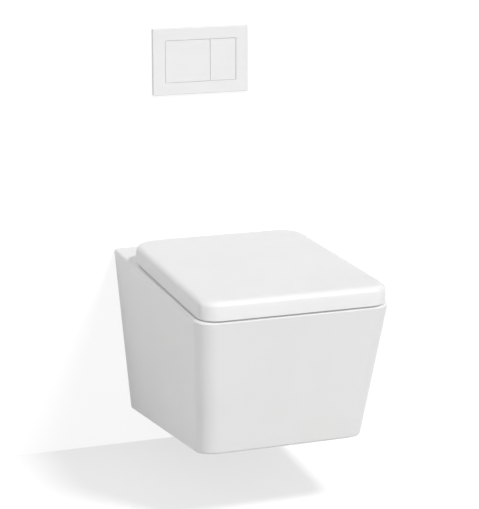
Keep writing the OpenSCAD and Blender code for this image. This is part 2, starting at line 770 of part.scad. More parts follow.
axle_r = axle_d / 2;
hub_r = axle_r + 3;
hub_w = 17;
cheek_t = 3;
cheek_gap = 1;
bridge_z = axle_z + 10;
bridge_t = 8;
bridge_gap = 8;
bridge_d = 6;
bridge_y = [axle_y + bridge_gap, axle_y + bridge_gap + bridge_d];
bridge_foot_w = 6;
bridge_reach = 20;
bridge_shelf_t = 4;
cheek_hw = 8;
arm_t = 6;
head_play = 1.5;

module lever_bracket() color(valve_blue) {
    difference() {
        union() {
            block([-access_hw + seat_play, bridge_y[0], bridge_z], [access_hw - seat_play, bridge_y[1], bridge_z + bridge_t]);
            both_sides() block([access_hw - bridge_foot_w, tank_y - bridge_reach, bridge_z], [access_hw - seat_play, bridge_y[1], bridge_z + bridge_t]);
            for (x = [-full_x, half_x]) for (s = [-1, 1])
                translate([x + s * (hub_w / 2 + cheek_gap + cheek_t / 2) - cheek_t / 2, 0, 0])
                    block([0, axle_y - cheek_hw, axle_z - cheek_hw], [cheek_t, bridge_y[1], bridge_z + over]);
        }
        translate([0, axle_y, axle_z]) rod_x(axle_r + pin_play, -access_hw, access_hw);
    }
}

axle_end = hub_w / 2 + cheek_gap + cheek_t + 3;
module lever_axle() color(steel_grey) translate([0, axle_y, axle_z]) rod_x(axle_r, -full_x - axle_end, half_x + axle_end);

// Bell crank at x: a hub, an arm down to the push rod and an arm back to the valve
module lever(x) color(valve_blue) translate([x, axle_y, axle_z]) {
    difference() {
        union() {
            rod_x(hub_r, -hub_w / 2, hub_w / 2);
            block([-lever_w / 2, -lever_arm_t / 2, -axle_rise - 5], [lever_w / 2, lever_arm_t / 2, 0]);
            block([-lever_w / 2, 0, -arm_t / 2], [lever_w / 2, valve_y - axle_y + 5, arm_t / 2]);
        }
        rod_x(axle_r + pin_play, -hub_w, hub_w);
    }
}
module full_lever() lever(-full_x);
module half_lever() lever(half_x);

// ---------- Flush valve ----------

neck_r = 30;
neck_bore_r = overflow_d / 2;
neck_low_z = tank_z - 22;
flange_t = 4;
seal_t = 2;
flange_z = tank_floor_z + seal_t;
seat_lip_h = 4;
seat_z = flange_z + flange_t + seat_lip_h;
basket_wall = 2.5;
collar_t = 5;
collar_z = flange_z + flange_t + basket_h;
window_count = 6;
half_ear_hw = half_rod_d / 2 + 5;

module flush_valve() color(valve_blue) {
    difference() {
        union() {
            translate([0, valve_y, 0]) {
                translate([0, 0, flange_z]) cylinder(r = basket_d / 2 + 2, h = flange_t);
                translate([0, 0, neck_low_z]) cylinder(r = neck_r, h = flange_z - neck_low_z + over);
                translate([0, 0, flange_z]) cylinder(r = neck_bore_r + 5, h = flange_t + seat_lip_h);
                translate([0, 0, flange_z + flange_t - over]) pipe(basket_d / 2, basket_d / 2 - basket_wall, basket_h + over);
                translate([0, 0, collar_z]) cylinder(r = basket_d / 2, h = collar_t);
            }
            block([basket_d / 2 - 6, valve_y - half_ear_hw, collar_z], [half_x + half_ear_hw, valve_y + half_ear_hw, collar_z + collar_t]);
        }
        translate([0, valve_y, 0]) {
            translate([0, 0, neck_low_z - over]) cylinder(r = neck_bore_r, h = seat_z - neck_low_z + 2 * over);
            translate([0, 0, collar_z - over]) cylinder(r = overflow_d / 2 + 0.6, h = collar_t + 2 * over);
            for (i = [0:window_count - 1]) rotate([0, 0, i * 360 / window_count])
                block([basket_d / 4, -11, flange_z + flange_t + 4], [basket_d, 11, collar_z - 12]);
        }
        translate([half_x, valve_y, collar_z - over]) cylinder(r = half_rod_d / 2 + 0.5, h = collar_t + 2 * over);
    }
}

seal_r = neck_bore_r + 6;
valve_seal_t = 4;
tube_low_z = seat_z + valve_seal_t;
tube_top_z = plate_z - 5;
head_t = 6;
riser_hw = lever_w / 2 + 4;
tip_window_hh = arm_t / 2 + head_play;

// Upright plate with a window for the tip of a lever's back arm
module lift_head(x, z_low) translate([x, valve_y, 0]) difference() {
    block([-riser_hw, -3, z_low], [riser_hw, 3, axle_z + tip_window_hh + 5]);
    block([-lever_w / 2 - 1, -3 - over, axle_z - tip_window_hh], [lever_w / 2 + 1, 3 + over, axle_z + tip_window_hh]);
}

module overflow_tube() color(plain_plastic) {
    difference() {
        union() {
            translate([0, valve_y, tube_low_z]) {
                cylinder(r = overflow_d / 2 + 5, h = 4);
                cylinder(r = overflow_d / 2, h = tube_top_z - tube_low_z);
            }
            block([-full_x - riser_hw, valve_y - 6, tube_top_z - head_t], [0, valve_y + 6, tube_top_z]);
            lift_head(-full_x, tube_top_z - over);
        }
        translate([0, valve_y, tube_low_z - over]) cylinder(r = overflow_d / 2 - overflow_wall, h = tube_top_z - tube_low_z + 2 * over);
    }
}

module valve_seal() color(rubber_black) translate([0, valve_y, seat_z]) pipe(seal_r, overflow_d / 2 - overflow_wall + 0.5, valve_seal_t);

half_cup_z = collar_z - 64;
module half_flush_rod() color(plain_plastic) {
    translate([half_x, valve_y, half_cup_z]) {
        cylinder(r = half_rod_d / 2, h = tube_top_z - half_cup_z);
        cylinder(r = 13, h = 40);
    }
    lift_head(half_x, tube_top_z - over);
}

// ---------- Cistern tank ----------

tank_mid_y = tank_y + tank_d / 2;
ear_low = 55;         // height of the lower ears' screws above the tank's floor
ear_high = 45;        // depth of the upper ears' screws below the tank's top
ear_z = [tank_z + ear_low, tank_top_z - ear_high];
ear_h = 30;
ear_y = [frame_y + 12, frame_y + 34];
bar_x = upright_x - upright_w / 2;   // inner face of an upright
tank_screw_r = 3;

module cistern_tank() color(tank_grey) {
    difference() {
        union() {
            translate([0, tank_mid_y, tank_z]) linear_extrude(tank_h) polygon(panel_plan(tank_w, tank_d, tank_edge_r));
            both_sides() for (z = ear_z)
                block([tank_w / 2 - 3, tank_y + 10, z - ear_h / 2], [bar_x - seat_play, tank_y + 30, z + ear_h / 2]);
        }
        translate([0, tank_mid_y, tank_floor_z]) linear_extrude(tank_h - 2 * tank_wall)
            polygon(panel_plan(tank_w - 2 * tank_wall, tank_d - 2 * tank_wall, tank_edge_r - tank_wall));
        block([-access_hw, tank_y - over, plate_z - access_hh], [access_hw, tank_y + tank_wall + over, plate_z + access_hh]);
        translate([0, valve_y, tank_z - over]) cylinder(r = neck_r + 0.4, h = tank_wall + 2 * over);
        translate([0, supply_y, supply_z]) rod_x(supply_thread_d / 2 + 0.3, -tank_w / 2 - over, -tank_w / 2 + tank_wall + over);
        both_sides() for (z = ear_z) translate([0, tank_y + 20, z]) rod_x(tank_screw_r, tank_w / 2 - 2, bar_x + over);
    }
}

// Sleeve from the tank's access opening to the finished wall face
module access_shaft() color(tank_grey) {
    difference() {
        block([-access_hw - shaft_wall, 0, plate_z - access_hh - shaft_wall], [access_hw + shaft_wall, tank_y, plate_z + access_hh + shaft_wall]);
        block([-access_hw, -over, plate_z - access_hh], [access_hw, tank_y + over, plate_z + access_hh]);
    }
    both_sides() {
        difference() {
            block([access_hw - 5.8, 0, plate_z - 5], [access_hw + over, 30, plate_z + 5]);
            translate([screw_x, 0, plate_z]) rod_y(screw_r + pin_play, -over, 26);
        }
        block([access_hw - bridge_foot_w, tank_y - bridge_reach - 2, bridge_z - bridge_shelf_t], [access_hw + over, tank_y - 2, bridge_z]);
    }
}

back_nut_h = 8;
union_h = 24;
union_z = neck_low_z - 12;
washer_z = neck_low_z - seal_t;
bend_flange_t = 5;

module cistern_seals() color(rubber_black) translate([0, valve_y, 0]) {
    translate([0, 0, tank_floor_z]) pipe(basket_d / 2, neck_r + 1, seal_t);
    translate([0, 0, washer_z]) pipe(neck_r - 0.5, neck_bore_r + 1, seal_t);
}

module tank_back_nut() color(plain_plastic) translate([0, valve_y, tank_z - back_nut_h]) difference() {
    cylinder(r = basket_d / 2 + 2, h = back_nut_h, $fn = 8);
    translate([0, 0, -over]) cylinder(r = neck_r + pin_play, h = back_nut_h + 2 * over);
}

module union_nut() color(plain_plastic) translate([0, valve_y, union_z]) difference() {
    union() {
        cylinder(r = neck_r + 6, h = union_h - 12);
        for (i = [0:11]) rotate([0, 0, i * 30]) translate([neck_r + 5, -2, 0]) cube([3, 4, union_h - 12]);
    }
    translate([0, 0, -over]) cylinder(r = flush_bend_d / 2 + 0.4, h = union_h);
    translate([0, 0, washer_z - bend_flange_t - union_z]) cylinder(r = neck_r + pin_play, h = union_h);
}

// ---------- Water supply ----------

thread_r = supply_thread_d / 2;
supply_pipe_r = 8;
valve_x = 60;
hose_x = 92;
hose_r = 5.5;
hose_bend_r = 15;
knob_y = [tank_y + 12, tank_y + 24];
knob_r = 12;
spindle_r = 3;
head_z = [plate_z - 5, plate_z + 27];
head_x = [-fill_x - 26, -fill_x + 22];
head_y = [supply_y - 9, fill_y + 14];
hose_z = head_z[0] + 22;

module supply_connector() color(brass_gold) translate([0, supply_y, supply_z]) {
    difference() {
        union() {
            rod_x(thread_r, -tank_w / 2 - 24, -tank_w / 2 + tank_wall + 8);
            translate([-tank_w / 2 - 8, 0, 0]) along_x() cylinder(d = 30, h = 8, $fn = 6);
            translate([-tank_w / 2 + tank_wall, 0, 0]) along_x() cylinder(d = 30, h = 6, $fn = 6);
        }
        rod_x(supply_pipe_r - 1, -tank_w / 2 - 30, -tank_w / 2 + tank_wall + 10);
    }
}

module stop_valve() color(brass_gold) {
    difference() {
        union() {
            translate([0, supply_y, supply_z]) {
                rod_x(supply_pipe_r, -tank_w / 2 + tank_wall + 8, -valve_x + 8);
                translate([-valve_x, 0, 0]) {
                    rod_y(10, knob_y[1] + 2 - supply_y, 0);
                    rod_y(spindle_r, knob_y[0] + 4 - supply_y, 0);
                }
            }
            translate([-hose_x, supply_y, supply_z]) cylinder(r = 7, h = hose_z - hose_bend_r - 4 - supply_z);
        }
        translate([0, supply_y, supply_z]) rod_x(5, -tank_w / 2 + tank_wall, -hose_x + 4);
        translate([-hose_x, supply_y, supply_z]) cylinder(r = 4, h = 60);
    }
}

module stop_valve_knob() color(valve_blue) translate([-valve_x, 0, supply_z]) difference() {
    union() {
        rod_y(knob_r - 2, knob_y[0], knob_y[1]);
        for (i = [0:5]) rotate([0, i * 60, 0]) translate([knob_r - 4, 0, 0]) rod_y(3, knob_y[0], knob_y[1]);
    }
    rod_y(spindle_r + pin_play, knob_y[0] + 3, knob_y[1] + over);
    block([-1, knob_y[0] - over, -knob_r + 4], [1, knob_y[0] + 1, knob_r - 4]);
}

// Braided hose: up from the stop valve and over into the fill valve's head
module supply_hose() color(steel_grey) translate([0, supply_y, 0]) {
    translate([-hose_x, 0, hose_z - hose_bend_r - 4]) cylinder(r = hose_r, h = 4);
    translate([-hose_x - hose_bend_r, 0, hose_z - hose_bend_r]) rotate([90, 0, 0])
        rotate_extrude(angle = 90) translate([hose_bend_r, 0]) circle(r = hose_r);
    translate([0, 0, hose_z]) rod_x(hose_r, head_x[1], -hose_x - hose_bend_r);
}

// The float arm is level at mid travel, and points down by float_swing at rest
float_low_z = tank_floor_z + 62;
float_lift = 24;
float_swing = 15;
arm_len = float_lift / (2 * sin(float_swing)) + 1.6;
arm_pivot_x = -fill_x - 18;
arm_z = head_z[0] + 16;
arm_tip_x = arm_pivot_x + arm_len;
arm_y = [head_y[0] - 9, head_y[0] - 4];
arm_pin_r = 3;
riser_x = arm_tip_x - 3;
riser_y = (arm_y[0] + arm_y[1]) / 2;
tip_z = arm_z - arm_len * sin(float_swing);

module fill_valve() color(plain_plastic) {
    block([head_x[0], head_y[0], head_z[0]], [head_x[1], head_y[1], head_z[1]]);
    translate([-fill_x, fill_y, tank_floor_z]) {
        cylinder(r = stem_d / 2, h = head_z[0] - tank_floor_z + over);
        cylinder(r = stem_d / 2 + 8, h = 4);
        translate([0, 0, float_low_z - tank_floor_z - 6]) cylinder(r = stem_d / 2 + 3, h = 6 - seat_play);
    }
    translate([arm_pivot_x, 0, arm_z]) {
        rod_y(arm_pin_r, arm_y[0] - 2, head_y[0] + over);
        rod_y(arm_pin_r + 3, arm_y[1] + 0.5, head_y[0] + over);
    }
}

module fill_float() color(plain_plastic) {
    difference() {
        union() {
            translate([-fill_x, fill_y, float_low_z]) cylinder(r = float_d / 2, h = float_h);
            block([-fill_x, riser_y - 2.5, float_low_z + float_h - 6], [riser_x + 5, fill_y, float_low_z + float_h]);
        }
        translate([-fill_x, fill_y, float_low_z - over]) cylinder(r = stem_d / 2 + 0.8, h = float_h + 2 * over);
    }
    difference() {
        block([riser_x - 4, riser_y - 2.5, float_low_z + float_h - 1], [riser_x + 5, riser_y + 2.5, tip_z + 8]);
        block([riser_x - 4 - over, riser_y - 2.5 - over, tip_z - 5], [riser_x + 2.5, riser_y + 2.5 + over, tip_z + 5]);
    }
}

module float_lever() color(valve_blue) translate([arm_pivot_x, 0, arm_z]) rotate([0, float_swing, 0]) difference() {
    union() {
        rod_y(arm_pin_r + 3, arm_y[0], arm_y[1]);
        block([0, arm_y[0] + 0.5, -2.5], [arm_len - 3, arm_y[1] - 0.5, 2.5]);
    }
    rod_y(arm_pin_r + pin_play, arm_y[0] - over, arm_y[1] + over);
}

// ---------- Flush way ----------

bend_r_out = flush_bend_d / 2;
bend_r_in = bend_r_out - flush_wall;
conn_r = flush_conn_d / 2;
bend_end_y = valve_y - flush_bend_r;
socket_front = frame_y;

module flush_bend() color(waste_black) {
    translate([0, valve_y, 0]) {
        translate([0, 0, inlet_z + flush_bend_r]) pipe(bend_r_out, bend_r_in, washer_z - inlet_z - flush_bend_r);
        translate([0, 0, washer_z - bend_flange_t]) pipe(neck_r - 0.5, bend_r_in, bend_flange_t);
    }
    translate([0, bend_end_y, inlet_z + flush_bend_r]) rotate([0, 90, 0]) rotate_extrude(angle = 90)
        translate([flush_bend_r, 0]) difference() {
            circle(r = bend_r_out);
            circle(r = bend_r_in);
        }
    translate([0, 0, inlet_z]) pipe_y(bend_r_out, bend_r_in, socket_front, bend_end_y);
}

flush_conn_y = [-inlet_depth + 12, bend_end_y + 4];
module flush_connector() color(plain_plastic) translate([0, 0, inlet_z]) pipe_y(conn_r, conn_r - 2.5, flush_conn_y[0], flush_conn_y[1]);

// Ring between the bend and the connector, and ribbed collar between the connector and the pan's inlet
module flush_seals() color(rubber_black) translate([0, 0, inlet_z]) {
    pipe_y(bend_r_in - 0.05, conn_r + 0.05, socket_front + 3, socket_front + 15);
    pipe_y(conn_r + 2, conn_r + 0.05, -44, -5);
    for (y = [-40, -28, -16]) pipe_y(inlet_bore_d / 2 - 0.1, conn_r + 1, y, y + 4);
}

// ---------- Waste ----------

waste_r = waste_d / 2;
waste_in_r = waste_r - waste_wall;
horn_r = horn_d / 2;
cup_in_r = horn_r + 4;
cup_out_r = cup_in_r + 3;
cup_y = [-34, 8];
step_t = 3;
waste_socket_y = [frame_y + 5, frame_y + 35];
waste_socket_in_r = waste_r + 3.4;
waste_socket_out_r = waste_socket_in_r + 2.6;
waste_pipe_y = waste_socket_y[1] + waste_bend_r;

module waste_connector() color(waste_black) translate([0, 0, outlet_z]) {
    pipe_y(cup_out_r, cup_in_r, cup_y[0], cup_y[1]);
    pipe_y(cup_out_r, waste_in_r, cup_y[1], cup_y[1] + step_t);
    pipe_y(waste_r, waste_in_r, cup_y[1] + step_t, waste_socket_y[1] - 4);
}

module waste_bend() color(waste_black) {
    translate([0, 0, outlet_z]) {
        pipe_y(waste_socket_out_r, waste_socket_in_r, waste_socket_y[0], waste_socket_y[1] - step_t);
        pipe_y(waste_socket_out_r, waste_in_r, waste_socket_y[1] - step_t, waste_socket_y[1]);
    }
    translate([0, waste_socket_y[1], outlet_z - waste_bend_r]) rotate([0, -90, 0])
        rotate_extrude(angle = 90) translate([waste_bend_r, 0]) difference() {
            circle(r = waste_r);
            circle(r = waste_in_r);
        }
    translate([0, waste_pipe_y, waste_end_z]) pipe(waste_r, waste_in_r, outlet_z - waste_bend_r - waste_end_z);
}

module waste_seals() color(rubber_black) translate([0, 0, outlet_z]) {
    pipe_y(cup_in_r - 0.05, horn_r + 0.05, -30, -16);
    pipe_y(waste_socket_in_r - 0.05, waste_r + 0.05, waste_socket_y[0] + 4, waste_socket_y[0] + 12);
}

clamp_y = [frame_y + 15, frame_y + 27];
clamp_t = 4;
lower_bar_top = lower_bar_z + upright_w;
module waste_clamp() color(steel_grey) difference() {
    union() {
        translate([0, 0, outlet_z]) pipe_y(waste_socket_out_r + clamp_t, waste_socket_out_r + 0.2, clamp_y[0], clamp_y[1]);
        both_sides() block([waste_socket_out_r - 6, clamp_y[0], lower_bar_top], [waste_socket_out_r + clamp_t, clamp_y[1], outlet_z]);
        both_sides() block([waste_socket_out_r - 6, clamp_y[0], lower_bar_top], [waste_socket_out_r + 24, clamp_y[1], lower_bar_top + clamp_t]);
    }
    translate([0, 0, outlet_z]) rod_y(waste_socket_out_r + 0.2, clamp_y[0] - over, clamp_y[1] + over);
    both_sides() translate([waste_socket_out_r + 15, (clamp_y[0] + clamp_y[1]) / 2, lower_bar_top - over]) cylinder(r = 3.2, h = clamp_t + 2 * over);
}

// ---------- Frame ----------

upright_back = frame_y + upright_w;
upright_mid_y = frame_y + upright_w / 2;
leg_overlap = 200;    // length of a leg inside its upright
lock_rise = 14;       // height of the lock screw above the upright's end
leg_top_z = upright_z + leg_overlap;
lock_z = upright_z + lock_rise;
board_hole_r = 2.4;
board_hole_pitch = 90;
lock_r = 4;

// Square hollow section along Z round the given centre line
module square_tube(w, t, h) difference() {
    translate([-w / 2, -w / 2, 0]) cube([w, w, h]);
    translate([-w / 2 + t, -w / 2 + t, -over]) cube([w - 2 * t, w - 2 * t, h + 2 * over]);
}

module upright() translate([upright_x, upright_mid_y, 0]) difference() {
    translate([0, 0, upright_z]) square_tube(upright_w, steel_t, frame_h - upright_z);
    for (z = [upright_z + 60:board_hole_pitch:frame_h - 40])
        translate([0, 0, z]) rod_y(board_hole_r, -upright_w / 2 - over, -upright_w / 2 + steel_t + over);
    translate([0, 0, lock_z]) rod_x(lock_r + pin_play, upright_w / 2 - steel_t - over, upright_w / 2 + over);
    for (z = ear_z) translate([0, tank_y + 20 - upright_mid_y, z])
        rod_x(tank_screw_r + 0.2, -upright_w / 2 - over, upright_w / 2 + over);
}
module right_upright() color(frame_blue) upright();
module left_upright() color(frame_blue) mirror([1, 0, 0]) upright();

foot_margin = 17;
foot_d = 60;
foot_w = [foot_hole_spacing + 2 * foot_margin, foot_d];
module leg() translate([upright_x, upright_mid_y, 0]) {
    translate([0, 0, foot_t - thin]) square_tube(leg_w, steel_t, leg_top_z - foot_t);
    difference() {
        translate([-foot_w[0] / 2, -foot_w[1] / 2, 0]) cube([foot_w[0], foot_w[1], foot_t]);
        for (s = [-1, 1]) translate([s * foot_hole_spacing / 2, 0, -over]) cylinder(d = foot_hole_d, h = foot_t + 2 * over);
    }
}
module right_leg() color(steel_grey) leg();
module left_leg() color(steel_grey) mirror([1, 0, 0]) leg();

module top_crossbar() color(frame_blue) translate([0, upright_mid_y, frame_h - upright_w / 2]) difference() {
    block([-bar_x, -upright_w / 2, -upright_w / 2], [bar_x, upright_w / 2, upright_w / 2]);
    block([-bar_x - over, -upright_w / 2 + steel_t, -upright_w / 2 + steel_t], [bar_x + over, upright_w / 2 - steel_t, upright_w / 2 - steel_t]);
}

module lower_crossbar() color(frame_blue) translate([0, upright_mid_y, lower_bar_z + upright_w / 2]) difference() {
    block([-bar_x, -upright_w / 2, -upright_w / 2], [bar_x, upright_w / 2, upright_w / 2]);
    block([-bar_x - over, -upright_w / 2 + steel_t, -upright_w / 2 + steel_t], [bar_x + over, upright_w / 2 - steel_t, upright_w / 2 - steel_t]);
    both_sides() translate([waste_socket_out_r + 15, (clamp_y[0] + clamp_y[1]) / 2 - upright_mid_y, upright_w / 2 - steel_t - over])
        cylinder(r = 2.5, h = steel_t + 2 * over);
}

// Channel section that the pan hangs on, with threaded positions for two stud spacings
mount_plate_z = [stud_z - 40, inlet_z + bend_r_out + 16];
mount_lip = upright_back - mount_plate_y;
wide_stud_x = stud_x + 25;
module pan_mounting_plate() color(frame_blue) difference() {
    block([-bar_x, mount_plate_y, mount_plate_z[0]], [bar_x, mount_plate_y + mount_lip, mount_plate_z[1]]);
    block([-bar_x - over, mount_plate_y + mount_plate_t, mount_plate_z[0] + mount_plate_t],
          [bar_x + over, mount_plate_y + mount_lip + over, mount_plate_z[1] - mount_plate_t]);
    // The flush bend passes through the web and both lips
    translate([0, 0, inlet_z]) rod_y(bend_r_out + 6, mount_plate_y - over, mount_plate_y + mount_lip + over);
    block([-bend_r_out - 6, mount_plate_y + mount_plate_t, inlet_z], [bend_r_out + 6, mount_plate_y + mount_lip + over, mount_plate_z[1] + over]);
    both_sides() {
        translate([stud_x, 0, stud_z]) rod_y(stud_r + pin_play, mount_plate_y - over, mount_plate_y + mount_plate_t + over);
        translate([wide_stud_x, 0, stud_z]) rod_y(stud_r, mount_plate_y - over, mount_plate_y + mount_plate_t + over);
    }
}

// Set screws that hold the legs, tank screws, and the clamp's screws
module frame_screws() color(steel_grey) both_sides() {
    translate([upright_x, upright_mid_y, lock_z]) {
        rod_x(lock_r, leg_w / 2 + 0.2, upright_w / 2 + 4);
        translate([upright_w / 2 + 4, 0, 0]) along_x() cylinder(d = 13, h = 6, $fn = 6);
    }
    for (z = ear_z) translate([0, tank_y + 20, z]) {
        rod_x(tank_screw_r - pin_play, tank_w / 2 - 2, upright_x + upright_w / 2);
        translate([upright_x + upright_w / 2, 0, 0]) along_x() cylinder(d = 11, h = 4, $fn = 6);
    }
    translate([waste_socket_out_r + 15, (clamp_y[0] + clamp_y[1]) / 2, 0]) {
        translate([0, 0, lower_bar_top - steel_t - 4]) cylinder(r = 2.5 - pin_play, h = steel_t + 4 + clamp_t);
        translate([0, 0, lower_bar_top + clamp_t]) cylinder(d = 11, h = 4, $fn = 6);
    }
}

bracket_t = 4;
bracket_w = 56;
bracket_low = 62;     // how far an anchor plate reaches below its rod
bracket_high = 16;    // how far it reaches above
anchor_drop = 42;     // how far the anchor hole lies below the rod
bracket_x = upright_x;
bracket_rod_r = 5;
bracket_z = frame_h - upright_w / 2;
// Threaded rods that stand the frame off the building wall, each on its anchor plate
module wall_brackets() color(steel_grey) both_sides() translate([bracket_x, 0, bracket_z]) {
    rod_y(bracket_rod_r, upright_back, building_y - bracket_t);
    translate([0, upright_back, 0]) along_y() cylinder(d = 19, h = 8, $fn = 6);
    difference() {
        block([-bracket_w / 2, building_y - bracket_t, -bracket_low], [bracket_w / 2, building_y, bracket_high]);
        translate([0, 0, -anchor_drop]) rod_y(anchor_hole_d / 2, building_y - bracket_t - over, building_y + over);
    }
}

// ---------- Drawing ----------

pan();
pan_bowl();
pan_trapway();
wall_gasket();
pan_bushes();
pan_nuts();
threaded_rods();
rod_nuts();
rod_sleeves();
hinge_posts();
hinge_pins();
hinge_bolts();
hinge_nuts();
seat_ring();
seat_buffers();
lid();
lid_buffers();
flush_plate();
full_button();
half_button();
full_push_rod();
half_push_rod();
plate_carrier();
carrier_screws();
lever_bracket();
lever_axle();
full_lever();
half_lever();
flush_valve();
overflow_tube();
valve_seal();
half_flush_rod();
cistern_tank();
access_shaft();
cistern_seals();
tank_back_nut();
union_nut();
supply_connector();
stop_valve();
stop_valve_knob();
supply_hose();
fill_valve();
fill_float();
float_lever();
flush_bend();
flush_connector();
flush_seals();
waste_connector();
waste_bend();
waste_seals();
waste_clamp();
left_upright();
right_upright();
top_crossbar();
pan_mounting_plate();
lower_crossbar();
left_leg();
right_leg();
frame_screws();
wall_brackets();
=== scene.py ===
"""Wall-hung toilet with a concealed cistern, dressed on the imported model's frame.

The room is on the -Y side of the wall face at Y = 0 and the steel frame stands behind it.
Everything is in metres, in the same frame as the solids.
"""
import json
import logging
import math
from collections.abc import Iterable
from dataclasses import dataclass
from enum import Enum

import bmesh
import bpy
from mathutils import Matrix, Vector


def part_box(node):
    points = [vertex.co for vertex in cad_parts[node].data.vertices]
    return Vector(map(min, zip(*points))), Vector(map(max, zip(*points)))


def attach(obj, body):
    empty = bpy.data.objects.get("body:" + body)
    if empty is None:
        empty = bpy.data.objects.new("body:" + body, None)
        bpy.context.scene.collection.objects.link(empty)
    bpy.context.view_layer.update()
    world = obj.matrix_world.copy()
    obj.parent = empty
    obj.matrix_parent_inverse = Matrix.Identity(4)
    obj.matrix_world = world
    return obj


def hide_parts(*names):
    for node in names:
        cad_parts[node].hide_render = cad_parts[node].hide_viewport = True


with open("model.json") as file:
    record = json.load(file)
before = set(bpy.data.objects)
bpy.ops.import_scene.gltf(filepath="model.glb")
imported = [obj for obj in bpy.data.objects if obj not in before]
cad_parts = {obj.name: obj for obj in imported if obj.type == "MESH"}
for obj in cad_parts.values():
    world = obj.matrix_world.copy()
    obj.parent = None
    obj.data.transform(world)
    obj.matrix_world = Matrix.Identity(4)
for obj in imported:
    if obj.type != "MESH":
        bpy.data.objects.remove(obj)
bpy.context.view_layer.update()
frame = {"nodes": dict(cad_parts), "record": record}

log = logging.getLogger("toilet")

MM = 0.001
MERGE_WITHIN = 0.01 * MM
FLAT_WITHIN_DEGREES = 0.2
Socket = bpy.types.NodeSocket
Triple = tuple[float, float, float]
Colour = Triple


# ---------------------------------------------------------------- finishes

